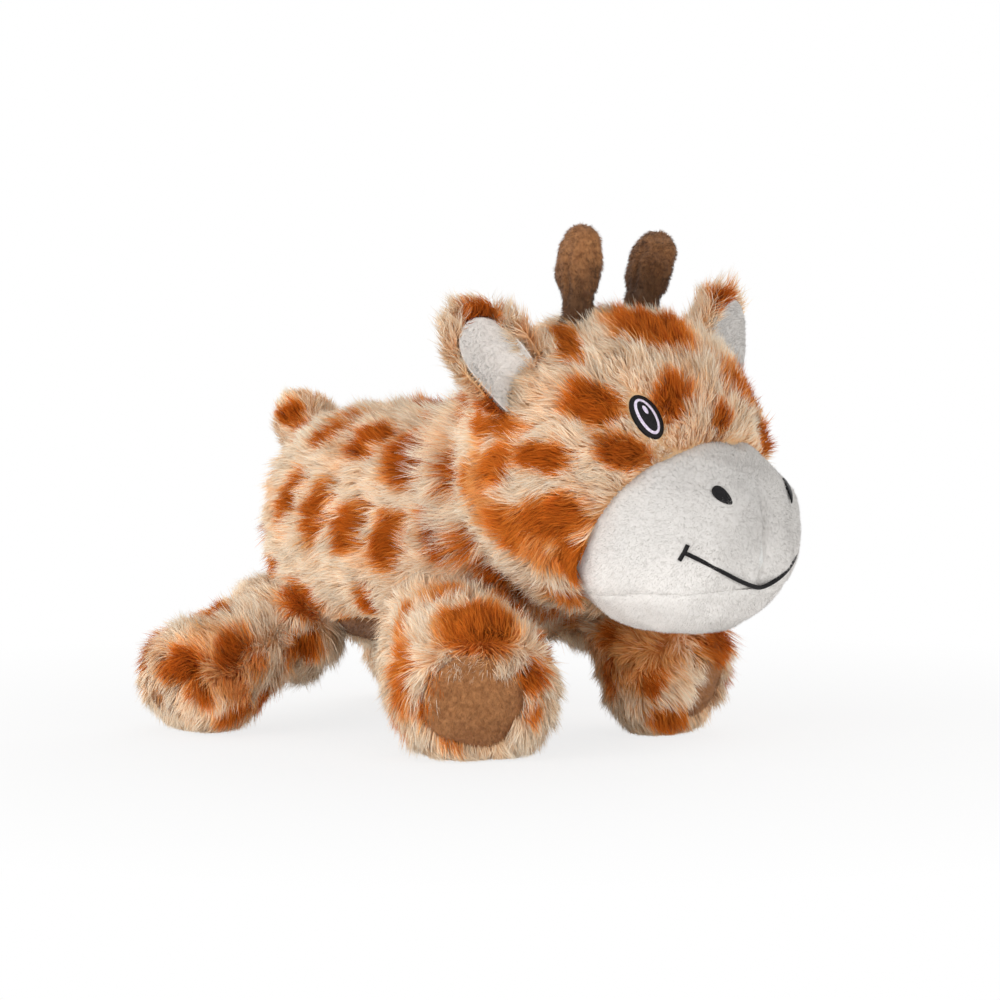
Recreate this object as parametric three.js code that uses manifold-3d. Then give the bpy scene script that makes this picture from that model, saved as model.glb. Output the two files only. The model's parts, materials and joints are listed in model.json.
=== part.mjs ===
// A plush giraffe that stands on four short splayed legs: fur covers, short-pile panels, fibre filling, embroidery.
// Millimetres. X points where the toy looks, Y to its left and Z up. The feet stand on Z = 0.
import * as THREE from "three";
import { mergeVertices } from "three/addons/utils/BufferGeometryUtils.js";
import Module from "manifold-3d";

const wasm = await Module();
wasm.setup();

// Cloth
const coverWall = 3; // fur cloth with the packed root of its pile
const lapGap = 0.3; // between pieces that touch
const socketGap = 0.3; // between a sewn root and the socket that it turns in
const standFlat = 0.5; // how deep the feet are pressed flat
const innerShare = 0.6; // how finely a lining surface is faceted next to the outer one
const ballSectors = 12;
const ballRings = 8;
const neckSectors = 20;
const neckRings = 14;
const ovalSides = 12;
const cutOverrun = 60; // how far a cutter runs past what it cuts
const mergeWithin = 1e-4; // corners closer than this are one

// Torso
const torso = {
  at: [-52, 0, 88],
  semi: [66, 49, 50],
  endPower: 3,
  sectionPower: 2.5,
  rings: 12,
  sectors: 20,
};
const bellyHalf = [50, 25]; // half length and half width of the short-pile belly panel

// Neck: a stuffed ball that both the torso and the head turn on
const neckAt = [4, 0, 106];
const neckRadius = 41;
const neckRise = 23; // degrees that the line to the head rises
const neckFree = 8; // degrees that the torso and the head each stand back from the square plane

// Head and muzzle
const head = {
  at: [57, 0, 124],
  semi: [57, 64, 60],
  endPower: 2.1,
  sectionPower: 2.1,
  rings: 13,
  sectors: 22,
};
const muzzle = {
  at: [90, 0, 95],
  dip: 12, // degrees that it points down
  semi: [50, 52, 42],
  endPower: 2.2,
  sectionPower: 2.2,
  rings: 11,
  sectors: 20,
};
const chinSeamDrop = 25; // below the muzzle's middle, where the upper panel meets the chin panel
const chinSeamDip = 3; // degrees that this seam falls towards the lips

// Embroidery
const stitchHeight = 0.8;
const eyeAim = { turn: 38.5, rise: 22.5 }; // degrees from straight ahead, at the head's middle
const eyeHalf = [10.5, 6.2]; // half height and half width of the outline
const eyeLean = 28; // degrees that an eye's top leans outwards
const eyeRingInset = 1.5;
const pupilInset = 3.1;
const glintRadius = 1.3;
const glintUp = 3.4;
const nostrilAim = { turn: 27, rise: 20.5 };
const nostrilRadius = 3.2; // of its round upper end
const nostrilPoint = 0.7; // radius of its lower point
const nostrilSpan = 7; // between the middles of the two ends
const nostrilLean = 42; // degrees that its point leans towards the centre line
const mouthWidth = 2;
const mouthDrop = 22; // below the muzzle's middle, at the centre of the lips
const mouthRise = 17; // from the centre of the lips up to a corner
const mouthHalf = 39; // from the centre line to a corner
const mouthPower = 1.7; // how late the smile turns up
const cornerTick = 8; // length of the cross stitch that ends the mouth
const tickLeanShare = 0.15;
const mouthSteps = 9;

// Legs
const frontLength = 76; // from the pivot in the root to the middle of the hoof patch
const hindLength = 68;
const rootRadius = 24;
const frontHalf = [30, 29]; // half width and half height of a front foot
const hindHalf = [27, 21];
const frontRoot = [-8, 36];
const hindRoot = [-104, 38];
const frontDip = 20; // degrees that a front leg falls
const hindDip = 28;
const legRings = 9;
const legSectors = 14;
const legTaperShare = 0.08;
const legEndPower = 3.6;
const legFillHole = 11; // radius of the turning opening in a leg's root
const legClearance = 32; // radius round a leg that the torso leaves free
const legs = [
  { name: "front_right", root: frontRoot, side: -1, turn: 37, dip: frontDip, length: frontLength, half: frontHalf },
  { name: "front_left", root: frontRoot, side: 1, turn: 13, dip: frontDip, length: frontLength, half: frontHalf },
  { name: "hind_right", root: hindRoot, side: -1, turn: 108, dip: hindDip, length: hindLength, half: hindHalf },
  { name: "hind_left", root: hindRoot, side: 1, turn: 108, dip: hindDip, length: hindLength, half: hindHalf },
];
const hoofBulge = 4.5;
const hoofShares = [0.72, 0.66]; // a hoof patch's width and height next to its foot's
const hoofInset = 1;
const hoofLift = 2.5; // how far a hoof patch sits above the leg's middle line

// Ears: a fur back with a short-pile lining in its cup
const earRootRise = 27; // degrees above the head's middle, where an ear leaves the head
const earTurn = 100;
const ears = [
  { name: "right", side: -1, rootTurn: 95, rise: 42 },
  { name: "left", side: 1, rootTurn: 88, rise: 46 },
];
const earHalf = [27, 10, 19]; // half length, half depth and half width
const earFree = 16; // degrees that a blade stands back from the plane of its root
const earRootRadius = 9;
const earWall = 2.6;
const liningWall = 1.6;
const earCupShift = 6; // how far forward the cup opens
const earRings = 8;
const earSectors = 10;

// Ossicones: flat stuffed paddles
const hornRoot = { x: 52, y: 20 };
const hornRootRadius = 8;
const hornStemHalf = [15, 7.5, 6.5];
const hornPaddleHalf = [17, 11.5, 7];
const hornStemOut = 11; // from the root to the middle of the stem
const hornPaddleOut = 28; // from the root to the middle of the paddle
const hornRings = 8;
const hornSectors = 10;
const horns = [
  { name: "right", side: -1, lean: 2 },
  { name: "left", side: 1, lean: 20 },
];

// Tail
const tailRootX = -112;
const tailRise = 45;
const tailOut = 15; // from the root to the middle of the tail
const tailHalf = [16, 11, 11];
const tailRootRadius = 9;

const cloth = {
  fur: { color: 0xe6cfae, roughness: 0.95, metalness: 0 },
  suede: { color: 0x83603e, roughness: 0.9, metalness: 0 },
  minky: { color: 0xe4dfda, roughness: 0.9, metalness: 0 },
  filling: { color: 0xf2f2f0, roughness: 1, metalness: 0 },
  black: { color: 0x141418, roughness: 0.55, metalness: 0 },
  white: { color: 0xdcd3e2, roughness: 0.6, metalness: 0 },
};

const group = new THREE.Group();
const pivots = {}; // where each sewn root turns, for the record's joints
const degrees = Math.PI / 180;
const up = new THREE.Vector3(0, 0, 1);

// Adds a solid as a named mesh, without the crumbs that a cut along facets can leave.
function add(name, solid, kind) {
  const [whole] = solid.decompose().sort((one, other) => other.volume() - one.volume());
  const mesh = whole.getMesh();
  const geometry = new THREE.BufferGeometry();
  geometry.setAttribute("position", new THREE.BufferAttribute(mesh.vertProperties, 3));
  geometry.setIndex(new THREE.BufferAttribute(mesh.triVerts, 1));
  geometry.computeVertexNormals();
  const made = new THREE.Mesh(geometry, new THREE.MeshStandardMaterial(cloth[kind]));
  made.name = name;
  group.add(made);
}

// Turns a closed three.js geometry into a solid.
function toSolid(geometry) {
  geometry.deleteAttribute("normal");
  geometry.deleteAttribute("uv");
  const merged = mergeVertices(geometry, mergeWithin);
  const triVerts = new Uint32Array(merged.index.array);
  const vertProperties = merged.attributes.position.array;
  return new wasm.Manifold(new wasm.Mesh({ numProp: 3, vertProperties, triVerts }));
}

// The unit vector that lies turn degrees round from X on the given side and rises by rise degrees.
function heading(turn, rise, side = 1) {
  const flat = Math.cos(rise * degrees);
  return new THREE.Vector3(
    Math.cos(turn * degrees) * flat,
    side * Math.sin(turn * degrees) * flat,
    Math.sin(rise * degrees),
  );
}

// A frame whose first axis is along, whose third points as far up as it can, then rolled about along.
function frameAt(at, along, roll = 0) {
  const first = along.clone().normalize();
  const second = new THREE.Vector3().crossVectors(up, first).normalize();
  const third = new THREE.Vector3().crossVectors(first, second);
  const frame = new THREE.Matrix4().makeBasis(first, second, third);
  frame.multiply(new THREE.Matrix4().makeRotationX(roll * degrees));
  return frame.setPosition(...at);
}

function powered(value, power) {
  return Math.sign(value) * Math.abs(value) ** (2 / power);
}

// A stuffed form: rings between two poles on its first axis, round at the power of its ends and its section.
function swell(form, lift = 0) {
  const { semi, endPower = 2, sectionPower = 2, taperShare = 0 } = form;
  const rings = lift <= -coverWall ? Math.round(form.rings * innerShare) : form.rings;
  const sectors = lift <= -coverWall ? Math.round(form.sectors * innerShare) : form.sectors;
  const frame = form.frame ?? frameAt(form.at, heading(0, -(form.dip ?? 0)));
  const [a, b, c] = semi.map((size) => size + lift);
  const points = [new THREE.Vector3(-a, 0, 0), new THREE.Vector3(a, 0, 0)];
  const index = [];
  for (let i = 1; i < rings; i++) {
    const along = powered(Math.sin(Math.PI * (i / rings - 1 / 2)), endPower);
    const wide = powered(Math.cos(Math.PI * (i / rings - 1 / 2)), endPower) * (1 + taperShare * along);
    for (let j = 0; j < sectors; j++) {
      const angle = (2 * Math.PI * j) / sectors;
      const y = b * wide * powered(Math.cos(angle), sectionPower);
      points.push(new THREE.Vector3(a * along, y, c * wide * powered(Math.sin(angle), sectionPower)));
    }
  }
  const at = (i, j) => 2 + (i - 1) * sectors + (j % sectors);
  for (let j = 0; j < sectors; j++) {
    index.push(0, at(1, j + 1), at(1, j), 1, at(rings - 1, j), at(rings - 1, j + 1));
    for (let i = 1; i < rings - 1; i++) {
      index.push(at(i, j), at(i, j + 1), at(i + 1, j + 1), at(i, j), at(i + 1, j + 1), at(i + 1, j));
    }
  }
  const geometry = new THREE.BufferGeometry().setFromPoints(points);
  geometry.setIndex(index);
  return toSolid(geometry.applyMatrix4(frame));
}

function ball(at, radius, sectors = ballSectors, rings = ballRings) {
  return toSolid(new THREE.SphereGeometry(radius, sectors, rings).translate(at.x, at.y, at.z));
}

// A hollow whose facets clear a ball of the given radius however that ball turns. At rest the middles of
// its facets face the ball's corners, so the gap is even.
function socketFor(at, radius, sectors = ballSectors, rings = ballRings) {
  const facetShare = Math.cos(Math.PI / sectors) * Math.cos(Math.PI / (2 * (rings - 1)));
  const hollow = new THREE.SphereGeometry((radius + socketGap) / facetShare, sectors, rings - 1);
  return toSolid(hollow.rotateY(Math.PI / sectors).translate(at.x, at.y, at.z));
}

// An upright or turned prism with an elliptical section, centred on its frame and half tall each way.
function ovalPrism(frame, halfUp, halfAcross, half) {
  const shape = new THREE.CylinderGeometry(1, 1, 1, ovalSides).rotateZ(Math.PI / 2);
  return toSolid(shape.scale(2 * half, halfAcross, halfUp).applyMatrix4(frame));
}

// What lies beyond a point along a direction, from a flat cone that leans back by some degrees.
function beyond(at, along, backDegrees, wide, deep = wide) {
  const profile = [
    new THREE.Vector2(0, 0),
    new THREE.Vector2(wide, -wide * Math.tan(backDegrees * degrees)),
    new THREE.Vector2(wide, deep),
    new THREE.Vector2(0, deep),
  ];
  const cone = new THREE.LatheGeometry(profile, ballSectors).rotateZ(-Math.PI / 2);
  return toSolid(cone.applyMatrix4(frameAt(at.toArray(), along)));
}

// The point where a direction from a form's middle leaves it.
function pointOn(form, direction) {
  const { at, semi, endPower, sectionPower } = form;
  const [x, y, z] = direction.toArray().map((value, i) => Math.abs(value) / semi[i]);
  const wide = (y ** sectionPower + z ** sectionPower) ** (1 / sectionPower);
  const reach = (x ** endPower + wide ** endPower) ** (-1 / endPower);
  return direction.clone().multiplyScalar(reach).add(new THREE.Vector3(...at));
}

// The point on top of a form over a place in plan.
function topOf(form, x, y) {
  const { at, semi, endPower, sectionPower } = form;
  const wide = (1 - Math.abs((x - at[0]) / semi[0]) ** endPower) ** (1 / endPower);
  const rise = (wide ** sectionPower - Math.abs((y - at[1]) / semi[1]) ** sectionPower) ** (1 / sectionPower);
  return new THREE.Vector3(x, y, at[2] + semi[2] * rise);
}

// A layer that lies on a form, from one height above it to another.
const layerOn = (form, low, high) => swell(form, high).subtract(swell(form, low));

const slide = (at, along, distance) => at.clone().addScaledVector(along, distance);

function lowest(solid) {
  return solid.boundingBox().min[2];
}

// Keeps what lies above a level.
function above(solid, level) {
  return solid.trimByPlane([0, 0, 1], level);
}

// Legs: a swelling stub on a ball root, with a short-pile hoof patch let into its end
const sockets = [];
for (const { name, root, side, turn, dip, length, half } of legs) {
  const along = heading(turn, -dip, side);
  const plan = new THREE.Vector3(root[0], side * root[1], 0);
  const stub = (pivot, lift) => {
    const form = {
      frame: frameAt(slide(pivot, along, length / 2).toArray(), along),
      semi: [length / 2, ...half],
      endPower: legEndPower,
      taperShare: legTaperShare,
      rings: legRings,
      sectors: legSectors,
    };
    return swell(form, lift).add(ball(pivot, rootRadius + lift));
  };
  const pivot = plan.setZ(-lowest(stub(plan, 0)) - standFlat);
  const patch = (lift) => {
    const frame = frameAt(slide(pivot, along, length - hoofInset).toArray(), along);
    frame.multiply(new THREE.Matrix4().makeTranslation(0, 0, hoofLift));
    const semi = [hoofBulge, half[0] * hoofShares[0], half[1] * hoofShares[1]];
    return swell({ frame, semi, rings: legRings, sectors: legSectors }, lift);
  };
  const opening = beyond(pivot, along.clone().negate(), 0, legFillHole, rootRadius * 2);
  const inside = above(stub(pivot, -coverWall), coverWall);
  const outside = above(stub(pivot, 0), 0);
  add(name + "_leg_cover", outside.subtract(inside).subtract(patch(lapGap)).subtract(opening), "fur");
  const fibre = above(stub(pivot, -coverWall - lapGap), coverWall + lapGap);
  add(name + "_leg_filling", fibre.subtract(patch(lapGap)), "filling");
  add(name + "_hoof_patch", above(patch(0), 0), "suede");
  pivots[name + "_leg"] = pivot;
  sockets.push(socketFor(pivot, rootRadius).add(beyond(pivot, along, 0, legClearance, length)));
}

// Neck: a stuffed ball in a socket of the torso and one of the head
const neckCentre = new THREE.Vector3(...neckAt);
const neckAlong = heading(0, neckRise);
const neckBack = neckAlong.clone().negate();
const neckSocket = socketFor(neckCentre, neckRadius, neckSectors, neckRings);
pivots.neck = neckCentre;
add("neck", ball(neckCentre, neckRadius, neckSectors, neckRings), "fur");

// Tail
const tailAlong = heading(180, tailRise);
const tailPivot = topOf(torso, tailRootX, 0);
const tailForm = {
  frame: frameAt(slide(tailPivot, tailAlong, tailOut).toArray(), tailAlong),
  semi: tailHalf,
  rings: hornRings,
  sectors: hornSectors,
};
pivots.tail = tailPivot;
add("tail", swell(tailForm).add(ball(tailPivot, tailRootRadius)), "fur");

// Torso: a fur cover with a short-pile panel under the belly, round a filling of polyester fibre
const torsoSockets = wasm.Manifold.union([...sockets, neckSocket, socketFor(tailPivot, tailRootRadius)]);
const torsoEnd = (inset) => beyond(slide(neckCentre, neckBack, inset), neckAlong, neckFree, cutOverrun * 2);
const torsoForm = (inset) => swell(torso, -inset).subtract(torsoEnd(inset));
const bellyFrame = new THREE.Matrix4().makeBasis(up, new THREE.Vector3(1, 0, 0), new THREE.Vector3(0, 1, 0));
bellyFrame.setPosition(torso.at[0], torso.at[1], torso.at[2] - torso.semi[2]);
const bellyPrism = (lift) => ovalPrism(bellyFrame, bellyHalf[1] + lift, bellyHalf[0] + lift, torso.semi[2]);
const torsoShell = torsoForm(0).subtract(torsoForm(coverWall)).subtract(torsoSockets);
add("torso_cover", torsoShell.subtract(bellyPrism(lapGap)), "fur");
add("belly_panel", torsoShell.intersect(bellyPrism(0)), "suede");
add("torso_filling", torsoForm(coverWall + lapGap).subtract(torsoSockets), "filling");

// Head: a fur cover that the muzzle's two short-pile panels are sewn to, round one filling
const behindHead = (inset) => beyond(slide(neckCentre, neckAlong, inset), neckBack, neckFree, cutOverrun * 2);
const headHollow = (inset) => swell(head, -inset).add(swell(muzzle, -inset)).subtract(behindHead(inset));
const sewnOn = [];

// Ears: a fur back with a short-pile lining in its cup, on a ball root
for (const { name, side, rootTurn, rise } of ears) {
  const pivot = pointOn(head, heading(rootTurn, earRootRise, side));
  const along = heading(earTurn, rise, side);
  const forward = new THREE.Vector3(1, 0, 0).projectOnPlane(along).normalize();
  const centre = slide(pivot, along, earHalf[0]);
  const blade = (inset, shift) => {
    const frame = frameAt(slide(centre, forward, shift).toArray(), along);
    const semi = [earHalf[0] - inset, earHalf[1] - inset + shift, earHalf[2] - inset];
    return swell({ frame, semi, rings: earRings, sectors: earSectors });
  };
  const square = heading((earTurn + rootTurn) / 2, (rise + earRootRise) / 2, side);
  const behind = beyond(pivot, square.negate(), earFree, cutOverrun);
  const cup = blade(0, 0).subtract(blade(earWall, earCupShift)).subtract(behind);
  add("ear_" + name + "_back", cup.add(ball(pivot, earRootRadius)), "fur");
  const liningOut = earWall + lapGap;
  const lining = blade(liningOut, earCupShift).subtract(blade(liningOut + liningWall, earCupShift)).intersect(blade(0, 0));
  add("ear_" + name + "_lining", lining.subtract(ball(pivot, earRootRadius + lapGap)).subtract(behind), "minky");
  pivots["ear_" + name] = pivot;
  sewnOn.push(socketFor(pivot, earRootRadius));
}

// Ossicones
for (const { name, side, lean } of horns) {
  const pivot = topOf(head, hornRoot.x, side * hornRoot.y);
  const along = heading(90, 90 - lean, side);
  const lobe = (out, semi) => {
    const frame = frameAt(slide(pivot, along, out).toArray(), along);
    return swell({ frame, semi, rings: hornRings, sectors: hornSectors });
  };
  const paddle = lobe(hornPaddleOut, hornPaddleHalf).add(lobe(hornStemOut, hornStemHalf));
  add("ossicone_" + name, paddle.add(ball(pivot, hornRootRadius)), "suede");
  pivots["ossicone_" + name] = pivot;
  sewnOn.push(socketFor(pivot, hornRootRadius));
}

const headSockets = wasm.Manifold.union([...sewnOn, neckSocket]);
const headShell = swell(head).subtract(behindHead(0)).subtract(headHollow(coverWall));
add("head_cover", headShell.subtract(headSockets), "fur");
add("head_filling", headHollow(coverWall + lapGap).subtract(headSockets), "filling");

// Muzzle panels
const muzzleShell = layerOn(muzzle, -coverWall, 0).subtract(swell(head, lapGap)).subtract(behindHead(0));
const seamUp = heading(180, 90 - chinSeamDip);
const seamFoot = new THREE.Vector3(muzzle.at[0], muzzle.at[1], muzzle.at[2] - chinSeamDrop);
const seamLevel = seamUp.dot(seamFoot);
add("muzzle_upper", muzzleShell.trimByPlane(seamUp.toArray(), seamLevel + lapGap), "minky");
add("muzzle_chin", muzzleShell.trimByPlane(seamUp.clone().negate().toArray(), -seamLevel), "minky");

// Eyes: an outline, a ring, a pupil and a glint, side by side
const onHead = layerOn(head, lapGap, lapGap + stitchHeight);
for (const [name, side] of [["right", -1], ["left", 1]]) {
  const along = heading(eyeAim.turn, eyeAim.rise, side);
  const frame = frameAt(slide(new THREE.Vector3(...head.at), along, cutOverrun).toArray(), along, -side * eyeLean);
  const oval = (inset) => ovalPrism(frame, eyeHalf[0] - inset, eyeHalf[1] - inset, cutOverrun);
  const glint = frame.clone().multiply(new THREE.Matrix4().makeTranslation(0, 0, glintUp));
  const dot = (lift) => ovalPrism(glint, glintRadius + lift, glintRadius + lift, cutOverrun);
  add("eye_" + name + "_outline", onHead.intersect(oval(0)).subtract(oval(eyeRingInset)), "black");
  add("eye_" + name + "_ring", onHead.intersect(oval(eyeRingInset + lapGap)).subtract(oval(pupilInset)), "white");
  add("eye_" + name + "_pupil", onHead.intersect(oval(pupilInset + lapGap)).subtract(dot(lapGap)), "black");
  add("eye_" + name + "_glint", onHead.intersect(dot(0)), "white");
}

// Nostrils: drops, round above and pointed below
const onMuzzle = layerOn(muzzle, lapGap, lapGap + stitchHeight);
for (const [name, side] of [["right", -1], ["left", 1]]) {
  const along = heading(nostrilAim.turn, nostrilAim.rise, side);
  const frame = frameAt(slide(new THREE.Vector3(...muzzle.at), along, cutOverrun).toArray(), along, -side * nostrilLean);
  const end = (radius, rise) => {
    const place = frame.clone().multiply(new THREE.Matrix4().makeTranslation(0, 0, rise));
    return ovalPrism(place, radius, radius, cutOverrun);
  };
  const drop = wasm.Manifold.hull([end(nostrilRadius, nostrilSpan / 2), end(nostrilPoint, -nostrilSpan / 2)]);
  add("nostril_" + name, onMuzzle.intersect(drop), "black");
}

// Mouth: one satin-stitched smile with a cross stitch at each corner
const lips = [];
for (let i = -mouthSteps; i <= mouthSteps; i++) {
  const share = i / mouthSteps;
  lips.push(new THREE.Vector2(share * mouthHalf, mouthRise * Math.abs(share) ** mouthPower - mouthDrop));
}
const strip = (points, half) => {
  const edges = points.map((point, i) => {
    const ahead = points[Math.min(i + 1, points.length - 1)];
    const run = ahead.clone().sub(points[Math.max(i - 1, 0)]).normalize().multiplyScalar(half);
    return new THREE.Vector2(-run.y, run.x);
  });
  const outline = points.map((point, i) => point.clone().add(edges[i]));
  outline.push(...points.map((point, i) => point.clone().sub(edges[i])).reverse());
  const made = new THREE.ExtrudeGeometry(new THREE.Shape(outline), { depth: cutOverrun, bevelEnabled: false });
  const basis = new THREE.Matrix4().makeBasis(new THREE.Vector3(0, 1, 0), up, new THREE.Vector3(1, 0, 0));
  return toSolid(made.applyMatrix4(basis.setPosition(...muzzle.at)));
};
const ticks = [-1, 1].map((side) => {
  const corner = new THREE.Vector2(side * mouthHalf, mouthRise - mouthDrop);
  const half = new THREE.Vector2(-side * cornerTick * tickLeanShare, cornerTick / 2);
  return strip([corner.clone().sub(half), corner.clone().add(half)], mouthWidth / 2);
});
const smile = wasm.Manifold.union([strip(lips, mouthWidth / 2), ...ticks]);
add("mouth", onMuzzle.intersect(smile), "black");

// The part's origin is the middle of its bounding box, at floor level
const box = new THREE.Box3().setFromObject(group, true);
const middle = box.getCenter(new THREE.Vector3());
group.position.set(-middle.x, -middle.y, -box.min.z);
group.userData.pivots = pivots;
for (const pivot of Object.values(pivots)) pivot.add(group.position);

export default group;
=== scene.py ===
"""Looks of a plush giraffe that stands on four short splayed legs.

Lengths are millimetres in the maker's own frame: X points where the toy looks, Y to its left, Z up, and the
neck turns at (4, 0, 106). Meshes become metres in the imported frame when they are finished.
"""
import json
import logging
import math
from dataclasses import dataclass, replace
from enum import Enum
from typing import Callable, Optional, Sequence, Union

import bmesh
import bpy
import numpy as np
from mathutils import Matrix, Vector
from mathutils.kdtree import KDTree


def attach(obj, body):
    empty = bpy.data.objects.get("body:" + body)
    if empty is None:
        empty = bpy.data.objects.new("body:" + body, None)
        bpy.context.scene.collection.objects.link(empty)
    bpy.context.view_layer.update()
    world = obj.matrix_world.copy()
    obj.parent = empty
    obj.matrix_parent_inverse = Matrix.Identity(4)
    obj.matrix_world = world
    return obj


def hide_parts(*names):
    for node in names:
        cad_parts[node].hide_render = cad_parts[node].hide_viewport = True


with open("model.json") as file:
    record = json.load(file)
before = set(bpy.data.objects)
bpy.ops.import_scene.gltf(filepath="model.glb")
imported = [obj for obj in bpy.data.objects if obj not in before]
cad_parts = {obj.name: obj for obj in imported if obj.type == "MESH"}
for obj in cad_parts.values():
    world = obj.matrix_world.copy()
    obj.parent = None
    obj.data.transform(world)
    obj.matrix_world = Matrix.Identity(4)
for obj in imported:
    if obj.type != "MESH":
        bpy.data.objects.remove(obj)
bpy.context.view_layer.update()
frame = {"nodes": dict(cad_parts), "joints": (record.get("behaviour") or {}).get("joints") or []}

MM = 0.001
NECK_AT = (4.0, 0.0, 106.0)
NECK_TURN = next(joint for joint in frame["joints"] if joint["name"] == "neck_turn")
SHIFT = np.array(NECK_TURN["pos_m"]) / MM - np.array(NECK_AT)
SIDES = ((-1, "right"), (1, "left"))
DOWN = np.array((0.0, 0.0, -1.0))
FAR_OFF = 69.0
PLAIN_RUN = 0.3
log = logging.getLogger("giraffe")

Array = np.ndarray
Piece = bpy.types.Object
Socket = bpy.types.NodeSocket
Material = bpy.types.Material
Point = tuple[float, float, float]
Field = Callable[[Array, Array], Array]
Shade = Callable[[Array], Array]


class Cloth(Enum):
    """The record's material slots."""

    FUR = "fur"
    BROWN = "short_pile_brown"
    WHITE = "short_pile_white"
    FIBRE = "stuffing"
    BLACK = "embroidery_black"
    PALE = "embroidery_pale"


# Small sums


def unit(vectors: Array) -> Array:
    """Scales vectors to length 1."""
    return vectors / np.maximum(np.linalg.norm(vectors, axis=-1, keepdims=True), 1e-9)


def dot(one: Array, other: Array) -> Array:
    """The dot products of two lists of vectors, as a column."""
    return np.sum(one * other, axis=-1, keepdims=True)


def heading(turn: float, rise: float, side: int = 1) -> Array:
    """The direction turned from X to one side and raised, both in degrees."""
    flat = math.cos(math.radians(rise))
    return np.array((
        math.cos(math.radians(turn)) * flat,
        side * math.sin(math.radians(turn)) * flat,
        math.sin(math.radians(rise)),
    ))


def ripple(points: Array, size: float, seed: int) -> Array:
    """A smooth field that wanders between about -1 and 1.

    Args:
        points: Places in mm.
        size: How far apart its crests lie, in mm.
        seed: Which field it is.

    Returns:
        One value for each point.
    """
    rng = np.random.default_rng(seed)
    total = np.zeros(len(points))
    for _ in range(7):
        wave = unit(rng.normal(size=3)) * rng.uniform(0.6, 1.6) * 2 * math.pi / size
        total += np.sin(points @ wave + rng.uniform(0, 2 * math.pi))
    return total / 2.6


def srgb(red: float, green: float, blue: float) -> tuple[float, float, float, float]:
    """A colour read on a screen, 0 to 255, as the linear value that a shader takes."""
    parts = [value / 255 for value in (red, green, blue)]
    return (*[p / 12.92 if p <= 0.04045 else ((p + 0.055) / 1.055) ** 2.4 for p in parts], 1.0)


# Stuffed forms


@dataclass(frozen=True)
class Form:
    """A stuffed form: rings round its first axis, as square as its two powers say.

    Attributes:
        at: Its middle.
        semi: Half its length, width and height.
        along: Its first axis.
        roll: Degrees that it is turned about its first axis.
        end_power: How square its ends are. 2 is round.
        section_power: How square its section is.
        taper: The share by which it widens towards its far end.
    """

    at: Point
    semi: Point
    along: Point = (1.0, 0.0, 0.0)
    roll: float = 0.0
    end_power: float = 2.0
    section_power: float = 2.0
    taper: float = 0.0

    def axes(self) -> Array:
        """Its three axes, as rows."""
        first = unit(np.array(self.along, float))
        second = unit(np.cross((0.0, 0.0, 1.0), first))
        third = np.cross(first, second)
        c, s = math.cos(math.radians(self.roll)), math.sin(math.radians(self.roll))
        return np.array((first, second * c + third * s, third * c - second * s))

    def level(self, points: Array, lift: float = 0.0) -> Array:
        """How far out points lie: under 0 inside the form, 0 on its surface.

        Args:
            points: Places in mm.
            lift: How much larger the form is taken to be, in mm.

        Returns:
            One value for each point.
        """
        own = (points - np.array(self.at)) @ self.axes().T / (np.array(self.semi) + lift)
        wide = 1 + self.taper * np.clip(own[:, 0], -1, 1)
        power = self.section_power
        section = np.abs(own[:, 1] / wide) ** power + np.abs(own[:, 2] / wide) ** power
        return np.abs(own[:, 0]) ** self.end_power + section ** (self.end_power / power) - 1

    def normal(self, points: Array) -> Array:
        """The directions that face out of the form at points near its surface."""
        steps = 0.05 * np.eye(3)
        slopes = [self.level(points + step) - self.level(points - step) for step in steps]
        return unit(np.stack(slopes, axis=1))

    def drop(self, points: Array, direction: Array) -> Array:
        """Moves points that lie outside along a direction until they meet the form."""
        near, far = np.zeros(len(points)), np.full(len(points), FAR_OFF + 1)
        for _ in range(26):
            middle = (near + far) / 2
            inside = self.level(points + middle[:, None] * direction) < 0
            far = np.where(inside, middle, far)
            near = np.where(inside, near, middle)
        return points + near[:, None] * direction

    def build(self, bm: bmesh.types.BMesh, lift: float = 0.0, segments: int = 72, rings: int = 48) -> None:
        """Adds its closed surface to a bmesh."""
        made = bmesh.ops.create_uvsphere(bm, u_segments=segments, v_segments=rings, radius=1.0)["verts"]
        round_points = np.array([vert.co for vert in made])
        run = round_points[:, 2]
        ring = np.hypot(round_points[:, 0], round_points[:, 1])
        turn = np.arctan2(round_points[:, 1], round_points[:, 0])
        a, b, c = np.array(self.semi) + lift
        along = np.sign(run) * np.abs(run) ** (2 / self.end_power)
        wide = ring ** (2 / self.end_power) * (1 + self.taper * along)
        across = [np.sign(v) * np.abs(v) ** (2 / self.section_power) for v in (np.cos(turn), np.sin(turn))]
        own = np.stack((a * along, b * wide * across[0], c * wide * across[1]), axis=1)
        for vert, place in zip(made, own @ self.axes() + np.array(self.at)):
            vert.co = place


Lifted = Sequence[tuple[Form, float]]


def slide(at: Sequence[float], along: Array, distance: float) -> Point:
    """The place a distance along a direction."""
    return tuple(float(v) for v in np.array(at, float) + np.array(along) * distance)


def new_ball(segments: int, rings: int) -> tuple[bmesh.types.BMesh, Array]:
    """Makes a bmesh of a ball of radius 1 and returns it with its points."""
    bm = bmesh.new()
    bmesh.ops.create_uvsphere(bm, u_segments=segments, v_segments=rings, radius=1.0)
    return bm, np.array([vert.co for vert in bm.verts])


def put_points(bm: bmesh.types.BMesh, moved: Array) -> None:
    """Puts a bmesh's points at places."""
    for vert, place in zip(bm.verts, moved):
        vert.co = place


def link_new(name: str, data: bpy.types.ID) -> Piece:
    """Puts a new object that shows some data in the scene."""
    made = bpy.data.objects.new(name, data)
    bpy.context.scene.collection.objects.link(made)
    return made


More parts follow.
